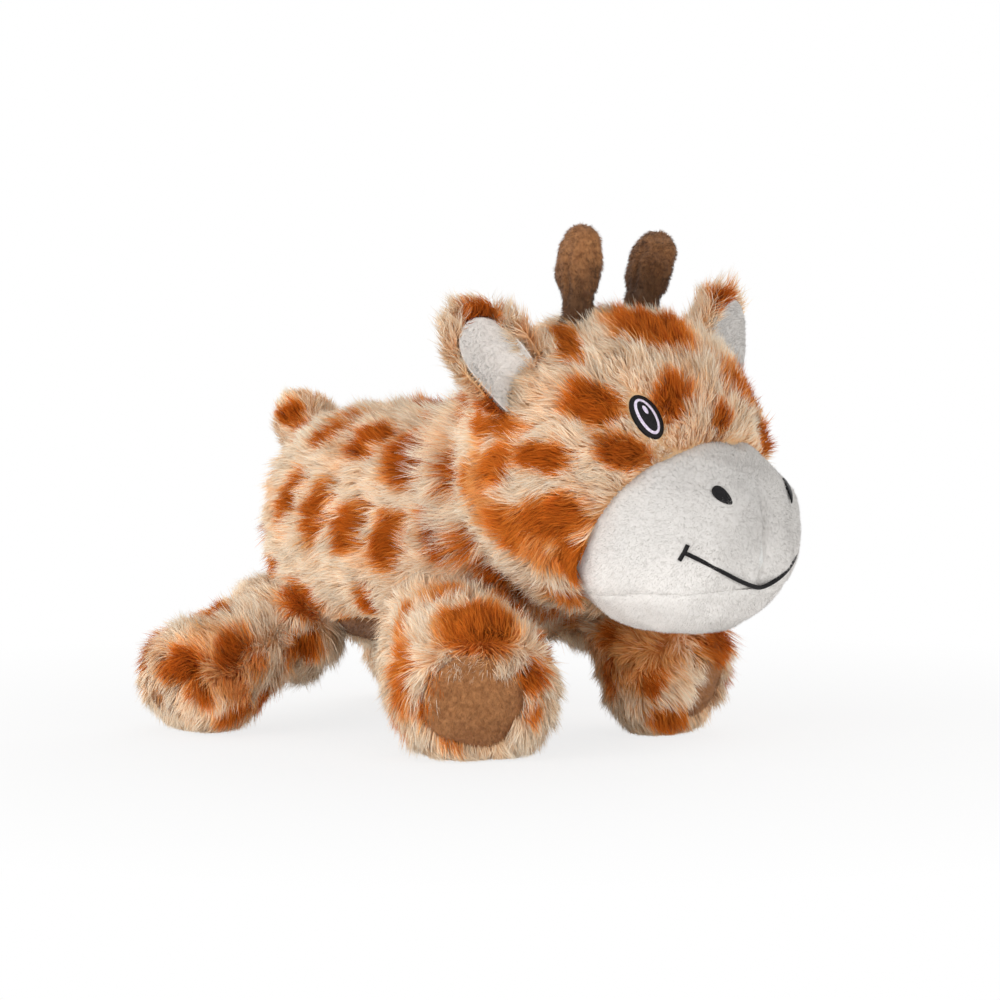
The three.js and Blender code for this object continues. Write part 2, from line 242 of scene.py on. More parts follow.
def finish_mesh(name: str, bm: bmesh.types.BMesh) -> Piece:
    """Makes a smooth object of a bmesh that is in the maker's frame."""
    bmesh.ops.recalc_face_normals(bm, faces=bm.faces)
    if bm.calc_volume(signed=True) < 0:
        bmesh.ops.reverse_faces(bm, faces=bm.faces)
    bmesh.ops.transform(bm, matrix=Matrix.Scale(MM, 4) @ Matrix.Translation(SHIFT), verts=bm.verts)
    mesh = bpy.data.meshes.new(name)
    bm.to_mesh(mesh)
    bm.free()
    mesh.shade_smooth()
    return link_new(name, mesh)


def apply_modifiers(piece: Piece) -> None:
    """Makes a piece's modifiers part of its mesh."""
    graph = bpy.context.evaluated_depsgraph_get()
    graph.update()
    mesh = bpy.data.meshes.new_from_object(piece.evaluated_get(graph))
    piece.modifiers.clear()
    piece.data = mesh
    mesh.shade_smooth()


def fused(name: str, forms: Sequence[Form], voxel: float, rounds: int = 6) -> Piece:
    """One closed skin round several forms.

    Args:
        name: The piece's name.
        forms: What it wraps.
        voxel: The size of its faces in mm.
        rounds: How often it is smoothed.

    Returns:
        The piece.
    """
    bm = bmesh.new()
    for form in forms:
        form.build(bm)
    piece = finish_mesh(name, bm)
    remesh = piece.modifiers.new("skin", "REMESH")
    remesh.mode = "VOXEL"
    remesh.voxel_size = voxel * MM
    smooth = piece.modifiers.new("ease", "SMOOTH")
    smooth.iterations = rounds
    smooth.factor = 0.5
    apply_modifiers(piece)
    return piece


def places(mesh: bpy.types.Mesh) -> Array:
    """A mesh's points in the maker's frame."""
    flat = np.empty(len(mesh.vertices) * 3, np.float32)
    mesh.vertices.foreach_get("co", flat)
    return flat.reshape(-1, 3).astype(float) / MM - SHIFT


def move_points(piece: Piece, moved: Array) -> None:
    """Puts a piece's points at places in the maker's frame."""
    piece.data.vertices.foreach_set("co", ((moved + SHIFT) * MM).astype(np.float32).ravel())
    piece.data.update()


def out_of(mesh: bpy.types.Mesh) -> Array:
    """The outward directions at a mesh's points."""
    flat = np.empty(len(mesh.vertices) * 3, np.float32)
    mesh.vertex_normals.foreach_get("vector", flat)
    return flat.reshape(-1, 3).astype(float)


def mark(mesh: bpy.types.Mesh, values: Array) -> None:
    """Stores how spotted, how far up a hair and how light each point is."""
    layer = mesh.attributes.new("pile", "FLOAT_VECTOR", "POINT")
    layer.data.foreach_set("vector", values.astype(np.float32).ravel())


def mark_light(mesh: bpy.types.Mesh, light: Array) -> None:
    """Stores how light each point of a cloth without spots is."""
    mark(mesh, np.stack((0 * light, 0 * light + PLAIN_RUN, light), axis=1))


def tree_of(points: Array) -> KDTree:
    """Makes a search tree of points."""
    tree = KDTree(len(points))
    for index, point in enumerate(points):
        tree.insert(point, index)
    tree.balance()
    return tree


# Finishes


class Nodes:
    """The node tree of a material or a world."""

    def __init__(self, owner: bpy.types.ID) -> None:
        """Starts on its owner's tree."""
        owner.use_nodes = True
        self.tree = owner.node_tree

    def add(self, kind: str, sockets: Optional[dict] = None, **values: object) -> bpy.types.Node:
        """Adds a node and sets its sockets' values and its own."""
        node = self.tree.nodes.new(kind)
        for key, value in values.items():
            setattr(node, key, value)
        for key, value in (sockets or {}).items():
            node.inputs[key].default_value = value
        return node

    def join(self, source: Socket, target: Socket) -> None:
        """Links two sockets."""
        self.tree.links.new(source, target)

    def blend(
        self, share: Union[float, Socket], first: Socket, second: Socket, end: str = "Material Output",
    ) -> None:
        """Ends the tree with a mix of two shaders, whose share is a number or a socket."""
        both = self.add("ShaderNodeMixShader")
        if isinstance(share, float):
            both.inputs["Fac"].default_value = share
        else:
            self.join(share, both.inputs["Fac"])
        self.join(first, both.inputs[1])
        self.join(second, both.inputs[2])
        self.join(both.outputs["Shader"], self.tree.nodes[end].inputs["Surface"])

    def seen(self) -> Socket:
        """1 for rays that show a background: the camera's own, mirrored ones and ones through glass."""
        path = self.add("ShaderNodeLightPath")
        last = path.outputs["Is Camera Ray"]
        for name in ("Is Glossy Ray", "Is Transmission Ray"):
            most = self.add("ShaderNodeMath", operation="MAXIMUM")
            self.join(last, most.inputs[0])
            self.join(path.outputs[name], most.inputs[1])
            last = most.outputs["Value"]
        return last


class Shader(Nodes):
    """A cloth's material."""

    def __init__(self, name: str, roughness: float, sheen: float, specular: float) -> None:
        """Starts a material whose shader has these values on its own sockets."""
        self.material = bpy.data.materials.new(name)
        super().__init__(self.material)
        self.surface = self.tree.nodes["Principled BSDF"]
        values = {
            "Roughness": roughness, "Specular IOR Level": specular, "Sheen Weight": sheen,
            "Sheen Roughness": 0.6,
        }
        for key, value in values.items():
            self.surface.inputs[key].default_value = value

    def pile(self) -> bpy.types.NodeOutputs:
        """What each point of the pile stores, as three values."""
        stored = self.add("ShaderNodeAttribute", attribute_name="pile")
        parts = self.add("ShaderNodeSeparateXYZ")
        self.join(stored.outputs["Vector"], parts.inputs["Vector"])
        return parts.outputs

    def ramp(self, source: Socket, stops: Sequence[tuple[float, tuple]]) -> Socket:
        """Turns a value into a colour by stops from 0 to 1."""
        node = self.add("ShaderNodeValToRGB")
        node.color_ramp.elements[0].position, node.color_ramp.elements[0].color = stops[0]
        node.color_ramp.elements[1].position, node.color_ramp.elements[1].color = stops[-1]
        for place, colour in stops[1:-1]:
            node.color_ramp.elements.new(place).color = colour
        self.join(source, node.inputs["Fac"])
        return node.outputs["Color"]

    def mix(self, share: Socket, low: Socket, high: Socket) -> Socket:
        """Mixes two colours."""
        node = self.add("ShaderNodeMix", data_type="RGBA")
        for source, target in ((share, "Factor"), (low, "A"), (high, "B")):
            self.join(source, node.inputs[target])
        return node.outputs["Result"]

    def scale(self, colour: Socket, by: Socket, low: float, high: float) -> Socket:
        """Makes a colour lighter or darker: a value of 0 to 1 goes from low to high."""
        span = self.add("ShaderNodeMapRange", {"To Min": low, "To Max": high})
        self.join(by, span.inputs["Value"])
        node = self.add("ShaderNodeVectorMath", operation="SCALE")
        self.join(colour, node.inputs["Vector"])
        self.join(span.outputs["Result"], node.inputs["Scale"])
        return node.outputs["Vector"]

    def noise(self, size: float, detail: float) -> Socket:
        """A noise whose grains are about size mm wide."""
        coords = self.add("ShaderNodeTexCoord")
        node = self.add("ShaderNodeTexNoise", {"Scale": 0.5 / (size * MM), "Detail": detail})
        self.join(coords.outputs["Object"], node.inputs["Vector"])
        return node.outputs["Fac"]

    def bump(self, height: Socket, depth: float) -> None:
        """Adds relief, depth mm deep."""
        node = self.add("ShaderNodeBump", {"Strength": 1.0, "Distance": depth * MM})
        self.join(height, node.inputs["Height"])
        self.join(node.outputs["Normal"], self.surface.inputs["Normal"])

    def colour(self, source: Socket) -> Material:
        """Sets the colour and returns the material."""
        self.join(source, self.surface.inputs["Base Color"])
        return self.material

    def glow_through(self, source: Socket, share: float) -> Material:
        """Sets the colour, lets a share of the light through thin hairs, and returns the material."""
        through = self.add("ShaderNodeBsdfTranslucent")
        self.join(source, through.inputs["Color"])
        self.blend(share, self.surface.outputs["BSDF"], through.outputs["BSDF"])
        return self.colour(source)


@dataclass(frozen=True)
class FurFinish:
    """Long fur, cream with orange-edged brown spots, darker at the root: partly the pile's own dye and partly
    painted shade among the hairs.

    Attributes:
        stops: How brown the pile is where each colour is reached.
        tips: The colours of the hairs' tips.
        roots: The colours of their roots, darker than the tips: partly dye, partly painted shade.
        lightness: What the darkest and the lightest hair's colour is scaled by.
        through: The share of the light that passes through a hair.
    """

    stops: tuple = (0.0, 0.25, 0.6, 1.0)
    tips: tuple = (srgb(255, 250, 236), srgb(252, 200, 134), srgb(238, 142, 52), srgb(204, 102, 22))
    roots: tuple = (srgb(250, 208, 156), srgb(238, 160, 86), srgb(216, 118, 36), srgb(164, 80, 16))
    lightness: tuple[float, float] = (0.78, 1.16)
    through: float = 0.2

    def build(self) -> Material:
        """Makes the material."""
        shader = Shader("long_fur", roughness=0.8, sheen=0.04, specular=0.06)
        pile = shader.pile()
        tips = shader.ramp(pile["X"], list(zip(self.stops, self.tips)))
        roots = shader.ramp(pile["X"], list(zip(self.stops, self.roots)))
        # From root to tip: the darker roots carry painted shade among the hairs as well as the pile's dye.
        whole = shader.mix(pile["Y"], roots, tips)
        return shader.glow_through(shader.scale(whole, pile["Z"], *self.lightness), self.through)


@dataclass(frozen=True)
class ShortPileFinish:
    """Short pile: a dense nap with fine grain, brushed in patches.

    Attributes:
        name: The material's name.
        low: Its darker colour.
        high: Its lighter one.
        nap: How wide its grains are, in mm.
        patch: How wide its brushed patches are, in mm.
        depth: How deep its relief is, in mm.
        sheen: How strongly its edges shine.
        marked: Whether the cloth stores how light it is, which carries painted light and shade on the muzzle,
            the ear linings and the ossicones.
        contrast: The share by which that changes its colour.
        grain_share: How much of its unevenness is grain. The rest is patches.
    """

    name: str
    low: tuple
    high: tuple
    nap: float = 0.7
    patch: float = 9.0
    depth: float = 0.35
    sheen: float = 0.3
    marked: bool = True
    contrast: float = 0.3
    grain_share: float = 0.55

    def build(self) -> Material:
        """Makes the material."""
        shader = Shader(self.name, roughness=0.85, sheen=self.sheen, specular=0.15)
        grain, patches = shader.noise(self.nap, 3.0), shader.noise(self.patch, 2.0)
        rest = shader.add("ShaderNodeMath", {1: 1 - self.grain_share}, operation="MULTIPLY")
        both = shader.add("ShaderNodeMath", {1: self.grain_share}, operation="MULTIPLY_ADD")
        shader.join(patches, rest.inputs[0])
        shader.join(grain, both.inputs[0])
        shader.join(rest.outputs["Value"], both.inputs[2])
        shader.bump(grain, self.depth)
        tone = shader.ramp(both.outputs["Value"], [(0.32, self.low), (0.68, self.high)])
        if not self.marked:
            return shader.colour(tone)
        return shader.colour(shader.scale(tone, shader.pile()["Z"], 1 - self.contrast, 1 + self.contrast))


@dataclass(frozen=True)
class StitchFinish:
    """Satin stitch: fine parallel threads with a soft shine."""

    name: str
    low: tuple
    high: tuple

    def build(self) -> Material:
        """Makes the material."""
        shader = Shader(self.name, roughness=0.6, sheen=0.0, specular=0.2)
        threads = shader.noise(0.5, 1.0)
        shader.bump(threads, 0.2)
        return shader.colour(shader.ramp(threads, [(0.35, self.low), (0.65, self.high)]))


def finishes() -> dict[Cloth, Material]:
    """Makes each cloth's material."""
    looks = {
        Cloth.FUR: FurFinish(),
        Cloth.BROWN: ShortPileFinish(
            "brown_short_pile", srgb(114, 71, 38), srgb(160, 112, 70), nap=1.0, depth=0.25, sheen=0.2,
            contrast=0.6,
        ),
        Cloth.WHITE: ShortPileFinish(
            "white_short_pile", srgb(220, 216, 212), srgb(231, 228, 224), patch=24, depth=0.02, sheen=0.1,
            contrast=0.24,
        ),
        Cloth.FIBRE: ShortPileFinish(
            "fibre", srgb(225, 225, 222), srgb(250, 250, 248), nap=2, depth=0.8, marked=False,
        ),
        Cloth.BLACK: StitchFinish("black_stitch", srgb(8, 7, 8), srgb(22, 19, 21)),
        Cloth.PALE: StitchFinish("lilac_stitch", srgb(205, 192, 216), srgb(232, 224, 238)),
    }
    return {cloth: look.build() for cloth, look in looks.items()}


# Spots


@dataclass(frozen=True)
class Spot:
    """A rounded patch of brown pile.

    Attributes:
        at: Its middle, among the hairs.
        reach: From its middle to one end of its long axis.
        wide: Half its width.
        depth: How brown its middle is, where 0.5 is orange.
    """

    at: Point
    reach: Point
    wide: float
    depth: float = 1.0

    def distance(self, points: Array) -> Array:
        """How far points lie from its middle, where 1 is its edge."""
        long = np.array(self.reach, float)
        half = float(np.linalg.norm(long))
        away = points - np.array(self.at)
        run = away @ (long / half)
        off = np.linalg.norm(away - run[:, None] * (long / half), axis=1)
        return np.hypot(run / half, off / self.wide)

    def other_side(self) -> "Spot":
        """The same spot on the toy's other side."""
        flip = np.array((1.0, -1.0, 1.0))
        return replace(self, at=tuple(np.array(self.at) * flip), reach=tuple(np.array(self.reach) * flip))


def mirrored(spots: Sequence[Spot]) -> list[Spot]:
    """The mirror images of spots."""
    return [spot.other_side() for spot in spots]


def both_sides(spots: Sequence[Spot]) -> list[Spot]:
    """Spots of the right side and their mirror images."""
    return [*spots, *mirrored(spots)]


def spotted(points: Array, spots: Sequence[Spot], seed: int) -> Array:
    """How brown the pile is at points, from 0 to 1, with ragged orange edges."""
    ragged = 0.1 * ripple(points, 16, seed) + 0.07 * ripple(points, 5, seed + 1)
    brown = 0.1 * np.clip(ripple(points, 30, seed + 2) - 0.1, 0, 1)
    for spot in spots:
        edge = (1.3 - spot.distance(points) - ragged) / 0.55
        brown = np.maximum(brown, spot.depth * np.clip(edge, 0, 1))
    return brown


TORSO_SPOTS = both_sides([
    Spot((-90, -51, 103), (8, 1, 13), 5.5, 0.95),
    Spot((-70, -53, 98), (4, 1, 13), 7),
    Spot((-50, -54, 93), (5, 0, 11), 7.5),
    Spot((-28, -53, 88), (5, 0, 12), 8),
    Spot((-3, -47, 92), (3, 1, -12), 8),
    Spot((-76, -37, 132), (9, 3, 4), 6),
    Spot((-50, -39, 131), (8, 5, 5), 8.5),
    Spot((-23, -43, 124), (10, 7, 7), 12),
    Spot((-76, -28, 143), (15, 6, 3), 6, 0.85),
    Spot((-26, -19, 141), (6, 3, 0), 7, 0.7),
    Spot((-108, -20, 128), (7, 4, 7), 5, 0.6),
    Spot((-45, -49, 59), (1, -3, 9), 5),
    Spot((-83, -52, 59), (10, 5, -8), 7),
    Spot((-105, -49, 70), (-5, 8, 6), 6),
    Spot((-118, -30, 92), (0, 5, 9), 6),
    Spot((-62, -44, 46), (9, 3, -2), 6),
]) + [
    Spot((-50, 3, 144), (13, 4, 0), 9),
    Spot((-90, 2, 144), (8, 3, 0), 6),
    Spot((-123, 2, 84), (0, 9, 5), 9),
    Spot((-121, 20, 64), (0, 6, 6), 6),
    Spot((12, 2, 60), (4, 10, 0), 8, 0.9),
]
NECK_SPOTS = both_sides([
    Spot((10, -44, 91), (3, 1, 9), 6, 0.8),
    Spot((4, -44, 119), (1, 3, 10), 7),
    Spot((18, -38, 84), (5, 2, 0), 5, 0.7),
    Spot((8, -24, 142), (4, 9, 6), 7),
    Spot((20, -38, 78), (6, 4, -8), 7),
    Spot((22, -24, 66), (8, 8, -2), 7),
]) + [
    Spot((26, -2, 62), (6, 8, 0), 8),
]
TAIL_SPOTS = [
    Spot((-123, -14, 139), (8, 1, 0), 7),
    Spot((-114, -13, 132), (5, 3, 2), 4, 0.5),
    Spot((-124, 12, 136), (5, -3, 5), 6),
    Spot((-140, 2, 132), (3, 5, 3), 5),
]
FRONT_RIGHT_SPOTS = [
    Spot((44, -77, 60), (11, 12, 0), 17, 0.85),
    Spot((10, -63, 69), (9, 5, 2), 8, 0.55),
    Spot((15, -96, 37), (-7, 8, 15), 8, 0.65),
    Spot((1, -77, 57), (-5, 10, 8), 5, 0.6),
    Spot((41, -100, 36), (5, 3, 0), 5),
    Spot((34, -101, 24), (1, -1, 6), 4, 0.9),
    Spot((66, -66, 38), (1, 11, 4), 6, 0.9),
    Spot((65, -64, 22), (2, 2, 6), 4, 0.7),
    Spot((42, -89, 9), (5, 5, 0), 4, 0.6),
    Spot((34, -42, 66), (9, 3, -3), 9),
    Spot((14, -84, 16), (8, 5, -2), 7, 0.8),
    Spot((56, -42, 50), (4, 7, 8), 7),
]
FRONT_LEFT_SPOTS = [
    Spot((63, 18, 25), (3, 1, 10), 6),
    Spot((72, 56, 42), (-3, 15, 0), 11, 0.9),
    Spot((39, 14, 47), (-2, 3, 8), 7),
    Spot((62, 32, 8), (3, 12, -1), 7, 0.8),
    Spot((40, 18, 28), (1, 1, 10), 6, 0.6),
    Spot((14, 10, 54), (8, 6, -4), 9, 0.9),
    Spot((44, 52, 62), (12, 8, -2), 12, 0.85),
    Spot((14, 62, 66), (9, -5, 2), 8, 0.6),
    Spot((24, 78, 38), (11, 3, -5), 8),
    Spot((56, 80, 24), (8, 2, 3), 6, 0.8),
    Spot((48, 28, 40), (12, 14, -6), 22, 0.3),
    Spot((30, 74, 16), (8, 0, -3), 6, 0.7),
]
HIND_SPOTS = [
    Spot((-107, -104, 33), (12, 4, 1), 10),
    Spot((-96, -103, 20), (6, 4, -6), 6),
    Spot((-96, -92, 34), (14, 12, -4), 20, 0.22),
    Spot((-91, -84, 40), (-2, 9, 9), 7),
    Spot((-83, -75, 33), (2, 7, 0), 6, 0.5),
    Spot((-116, -72, 54), (4, 8, 3), 7, 0.9),
    Spot((-79, -51, 36), (0, 4, 8), 8),
    Spot((-82, -62, 44), (2, 9, 2), 4, 0.8),
    Spot((-89, -85, 9), (3, 10, 3), 6, 0.8),
    Spot((-88, -64, 14), (1, 10, 4), 6, 0.7),
    Spot((-86, -87, 23), (3, 10, -1), 6, 0.4),
    Spot((-83, -52, 59), (9, 5, -8), 7),
    Spot((-136, -84, 34), (4, 9, 5), 8),
    Spot((-128, -60, 44), (4, 8, 4), 7, 0.8),
    Spot((-128, -104, 14), (8, 3, 4), 6, 0.7),
]
HEAD_SPOTS = both_sides([
    Spot((87, -53, 154), (11, 7, 0), 10),
    Spot((108, -25, 156), (-1, 7, 9), 8.5, 0.9),
    Spot((102, -49, 133), (8, 9, -3), 7),
    Spot((63, -40, 178), (13, -10, -7), 5, 0.8),
    Spot((71, -67, 131), (13, 3, -2), 6),
    Spot((46, -68, 126), (9, -1, 8), 7, 0.75),
    Spot((74, -64, 105), (17, 4, 2), 10, 0.9),
    Spot((48, -64, 99), (11, 1, -7), 11, 0.75),
    Spot((77, -54, 86), (3, -7, 13), 7, 0.85),
    Spot((60, -36, 68), (8, 1, 0), 8, 0.6),
    Spot((48, -66, 143), (15, -2, 0), 5, 0.85),
    Spot((31, -60, 147), (-7, 6, 9), 6, 0.75),
    Spot((22, -34, 174), (9, -6, 4), 9),
    Spot((10, -48, 152), (4, -6, 9), 7),
    Spot((22, -56, 120), (2, 3, 9), 6, 0.7),
    Spot((33, -64, 112), (3, 2, 24), 9, 0.42),
    Spot((60, -62, 88), (12, 5, -6), 9, 0.5),
]) + [
    Spot((81, -6, 184), (16, 5, -6), 18, 0.9),
    Spot((117, -2, 145), (-1, 3, 6), 5, 0.9),
    Spot((110, 12, 166), (-5, 4, 8), 5, 0.8),
    Spot((44, 2, 190), (8, 5, 1), 10),
    Spot((8, 4, 172), (5, 9, 8), 10),
]


# Fur


@dataclass(frozen=True)
class Pile:
    """How a cloth's pile stands.

    Attributes:
        length: Of a lock, in mm.
        width: Of a lock at its middle, in mm.
        crowd: Locks to a square mm.
        rise: Degrees from upright where a lock leaves the cloth.
        lie: Degrees from upright at its tip.
        clump: How far apart the locks' gatherings lie, in mm.
        pull: The share by which tips gather.
        stations: Where along a lock its outline bends, up to 1 at its tip.
        mixed: How much the locks differ in lightness.
    """

    length: float = 12.5
    width: float = 0.33
    crowd: float = 3.6
    rise: float = 26.0
    lie: float = 76.0
    clump: float = 4.5
    pull: float = 0.5
    stations: tuple = (0.0, 0.5, 1.0)
    mixed: float = 1.0


LONG_PILE = Pile()
NAP = Pile(length=1.6, width=0.3, crowd=3.0, rise=25, lie=60, clump=2.5, pull=0.25, stations=(0.0, 1.0))
MUZZLE_NAP = Pile(1.0, 0.2, 3.2, 20, 50, 2, 0.05, (0.0, 1.0), 0.3)
EAR_NAP = Pile(1.4, 0.22, 3.5, 20, 55, 3, 0.2, (0.0, 1.0), 0.4)
MOST_HAIRS = 64000
LEAST_ROOM = 0.05


@dataclass
class Coat:
    """Hairs planted on a skin.

    Attributes:
        name: The piece's name.
        skin: What they grow on.
        pile: How they stand.
        comb: The direction in which they are brushed at places with outward directions.
        room: The share of its length that a hair has at each place. Under LEAST_ROOM none grows.
        spots: The brown patches.
        seed: Which set of hairs it is.
        side: Only hairs on one side of the toy's middle, if not 0.
        shade: How much lighter the hairs are at each place; it carries painted light and shade on the muzzle,
            ear lining and ossicone naps.
    """

    name: str
    skin: Piece
    pile: Pile
    comb: Field
    room: Field
    spots: Sequence[Spot] = ()
    seed: int = 1
    side: int = 0
    shade: Optional[Shade] = None

    def roots(self, rng: np.random.Generator) -> tuple[Array, Array]:
        """Scatters roots evenly over the skin and returns them with their outward directions."""
        mesh = self.skin.data
        mesh.calc_loop_triangles()
        corners = np.empty(len(mesh.loop_triangles) * 3, np.int32)
        mesh.loop_triangles.foreach_get("vertices", corners)
        corners = corners.reshape(-1, 3)
        points, normals = places(mesh), out_of(mesh)
        a, b, c = (points[corners[:, i]] for i in range(3))
        area = np.linalg.norm(np.cross(b - a, c - a), axis=1) / 2
        total = np.cumsum(area)
        count = int(total[-1] * self.pile.crowd)
        chosen = np.minimum(np.searchsorted(total, rng.random(count) * total[-1]), len(area) - 1)
        u, v = rng.random(count), rng.random(count)
        over = u + v > 1
        u, v = np.where(over, 1 - u, u)[:, None], np.where(over, 1 - v, v)[:, None]
        na, nb, nc = (normals[corners[chosen, i]] for i in range(3))
        at = a[chosen] * (1 - u - v) + b[chosen] * u + c[chosen] * v
        return at, unit(na * (1 - u - v) + nb * u + nc * v)

    def paths(self, at: Array, out: Array, rng: np.random.Generator) -> tuple[Array, ...]:
        """The hairs' points and directions by station, hair and axis, and how light each hair's lock is."""
        pile, count = self.pile, len(at)
        length = pile.length * self.room(at, out) * rng.uniform(0.55, 1.25, count)
        waves = 0.45 * ripple(at, 24, self.seed + 5) + 0.2 * ripple(at, 9, self.seed + 6)
        swirl = waves + 0.3 * rng.normal(size=count)
        flow = self.comb(at, out)
        flow = unit(flow - dot(flow, out) * out)
        flow = unit(flow + np.cross(out, flow) * swirl[:, None])
        stand = rng.normal(0, 11, count) + 9 * ripple(at, 12, self.seed + 9)
        start, end = (np.radians(np.clip(angle + stand, 4, 86))[:, None] for angle in (pile.rise, pile.lie))
        first = np.cos(start) * out + np.sin(start) * flow
        last = np.cos(end) * out + np.sin(end) * flow
        waver = rng.normal(0, 0.12, at.shape)
        size = length[:, None]
        track = [
            at + size * (first * (t - t * t / 2) + last * t * t / 2 + waver * t * t) for t in pile.stations
        ]
        course = [unit(first * (1 - t) + last * t + 2 * waver * t) for t in pile.stations]
        leaders = rng.choice(count, max(1, int(count / (pile.crowd * pile.clump**2))), replace=False)
        tree = tree_of(at[leaders])
        follow = leaders[np.array([tree.find(place)[1] for place in at])]
        pull = pile.pull * rng.uniform(0.4, 1.3, count)[:, None]
        track = [place + pull * t**1.5 * (place[follow] - place) for place, t in zip(track, pile.stations)]
        return np.array(track), np.array(course), rng.normal(0, 0.13, count)[follow]

    def blades(
        self, track: Array, course: Array, out: Array, rng: np.random.Generator,
    ) -> tuple[Array, Array]:
        """Shapes the hairs: their corners, and the directions that they face there."""
        last, count = len(track) - 1, len(out)
        roll = rng.uniform(-1.0, 1.0, count)[:, None]
        width = self.pile.width * rng.uniform(0.6, 1.3, count)[:, None]
        corners, planes = [], []
        for step, t in enumerate(self.pile.stations):
            across = unit(np.cross(course[step], out))
            above = unit(np.cross(across, course[step]))
            edge = across * np.cos(roll) + above * np.sin(roll)
            plane = above * np.cos(roll) - across * np.sin(roll)
            foot = 0.75 if step == 0 and last > 1 else 1.0
            half = edge * width / 2 * min(1.0, 1.6 * (1 - t) ** 0.7) * foot
            sides = [track[step]] if step == last else [track[step] - half, track[step] + half]
            corners += sides
            planes += [plane] * len(sides)
        points = np.stack(corners, axis=1)
        points[..., 2] = np.maximum(points[..., 2], 0.4 + 0.3 * rng.random(count)[:, None])
        return points, np.stack(planes, axis=1)

    def marks(self, at: Array, middle: Array, lock: Array, rng: np.random.Generator) -> Array:
        """What each corner of each hair stores for its finish."""
        count, stations = len(at), self.pile.stations
        strayed = middle + self.pile.length * 0.065 * rng.normal(size=middle.shape)
        brown = np.clip(spotted(strayed, self.spots, self.seed % 7) + 0.06 * rng.normal(size=count), 0, 1)
        uneven = 0.2 * rng.normal(size=count) + 0.16 * ripple(at, 14, self.seed + 3) + lock
        light = 0.5 + self.pile.mixed * uneven
        light = np.clip(light if self.shade is None else light + self.shade(at), 0, 1)
        runs = np.repeat(stations, [2] * (len(stations) - 1) + [1])[None, :]
        parts = (brown[:, None], runs, light[:, None])
        return np.stack([np.broadcast_to(part, (count, runs.shape[1])) for part in parts], axis=2)

    def grow(self, finish: Material) -> list[Piece]:
        """Makes the hairs meshes of tapered blades, which have a second face where they are short."""
        rng = np.random.default_rng(self.seed)
        at, out = self.roots(rng)
        keep = self.room(at, out) > LEAST_ROOM
        if self.side:
            keep &= at[:, 1] * self.side > 0
        at, out = at[keep], out[keep]
        track, course, lock = self.paths(at, out, rng)
        points, plane = self.blades(track, course, out, rng)
        short = len(track) == 2
        marks = self.marks(at, at if short else track[len(track) // 2], lock, rng)
        lift = (1.5 if short else 0.5) * out[:, None, :]
        facing = unit(plane + lift)
        if short:
            back = [1, 0, 2]
            points = np.concatenate((points + 0.01 * plane, (points - 0.01 * plane)[:, back]))
            facing = np.concatenate((facing, unit(lift - plane)[:, back]))
            marks, at = np.concatenate((marks, marks)), np.concatenate((at, at))
        order = np.argsort(at[:, 0], kind="stable")
        shares = np.array_split(order, max(1, math.ceil(len(at) / MOST_HAIRS)))
        names = [self.name] if len(shares) == 1 else [f"{self.name}_{n + 1}" for n in range(len(shares))]
        return [
            self.to_object(name, points[share], facing[share], marks[share], finish)
            for name, share in zip(names, shares)
        ]

    def to_object(self, name: str, points: Array, facing: Array, marks: Array, finish: Material) -> Piece:
        """Stores blades as a mesh.

        Args:
            name: The piece's name.
            points: Their corners by hair.
            facing: The outward directions at the corners.
            marks: What each corner stores for the finish.
            finish: Their material.

        Returns:
            The piece.
        """
        count, per = points.shape[:2]
        quads = (per - 3) // 2
        pattern = [corner for low in range(0, 2 * quads, 2) for corner in (low, low + 1, low + 3, low + 2)]
        pattern += [per - 3, per - 2, per - 1]
        loops = (np.arange(count)[:, None] * per + np.array(pattern)[None, :]).ravel()
        totals = np.tile([4] * quads + [3], count)
        starts = np.concatenate(([0], np.cumsum(totals)[:-1]))
        mesh = bpy.data.meshes.new(name)
        mesh.vertices.add(count * per)
        mesh.loops.add(len(loops))
        mesh.polygons.add(len(totals))
        mesh.vertices.foreach_set("co", ((points + SHIFT) * MM).astype(np.float32).ravel())
        mesh.loops.foreach_set("vertex_index", loops.astype(np.int32))
        mesh.polygons.foreach_set("loop_start", starts.astype(np.int32))
        mesh.polygons.foreach_set("loop_total", totals.astype(np.int32))
        mesh.polygons.foreach_set("use_smooth", np.ones(len(totals), bool))
        mesh.update(calc_edges=True)
        mesh.normals_split_custom_set_from_vertices(facing.reshape(-1, 3))
        mark(mesh, marks.reshape(-1, 3))
        mesh.materials.append(finish)
        log.info("%s: %d hairs, %d triangles", name, count, count * (2 * quads + 1))
        return link_new(name, mesh)


def clear_of(forms: Lifted) -> Field:
    """Room for hairs only outside some forms, each made larger or smaller by its own lift."""

    def room(points: Array, out: Array) -> Array:
        """The share of a hair's length that it has at each place."""
        free = np.ones(len(points))
        for form, lift in forms:
            free = np.where(form.level(points, lift) < 0, 0.0, free)
        return free

    return room


def brushed(direction: Sequence[float]) -> Field:
    """Hairs brushed one way."""

    def comb(points: Array, out: Array) -> Array:
        """The direction at each place."""
        return np.tile(np.array(direction, float), (len(points), 1))

    return comb


def evenly(light: float) -> Shade:
    """Hairs made lighter by the same value everywhere."""

    def shade(at: Array) -> Array:
        """The value at each place."""
        return np.full(len(at), light)

    return shade


# The toy's forms

TORSO = Form((-52, 0, 88), (66, 49, 50), end_power=3, section_power=2.5)
NECK = Form(NECK_AT, (41, 41, 41))
HEAD = Form((57, 0, 124), (57, 64, 60), end_power=2.1, section_power=2.1)
MUZZLE = Form((90, 0, 96.5), (50, 51, 43.5), tuple(heading(0, -12)), end_power=2.2, section_power=2.2)


def top_of(form: Form, x: float, y: float) -> Point:
    """The point on top of a form over a place in plan."""
    start = np.array(((x, y, form.at[2] + form.semi[2] + 5.0),))
    return tuple(form.drop(start, DOWN)[0])


def point_on(form: Form, direction: Array) -> Point:
    """The point where a direction from a form's middle leaves it."""
    start = np.array(form.at)[None, :] + direction * FAR_OFF
    return tuple(form.drop(start, -direction)[0])


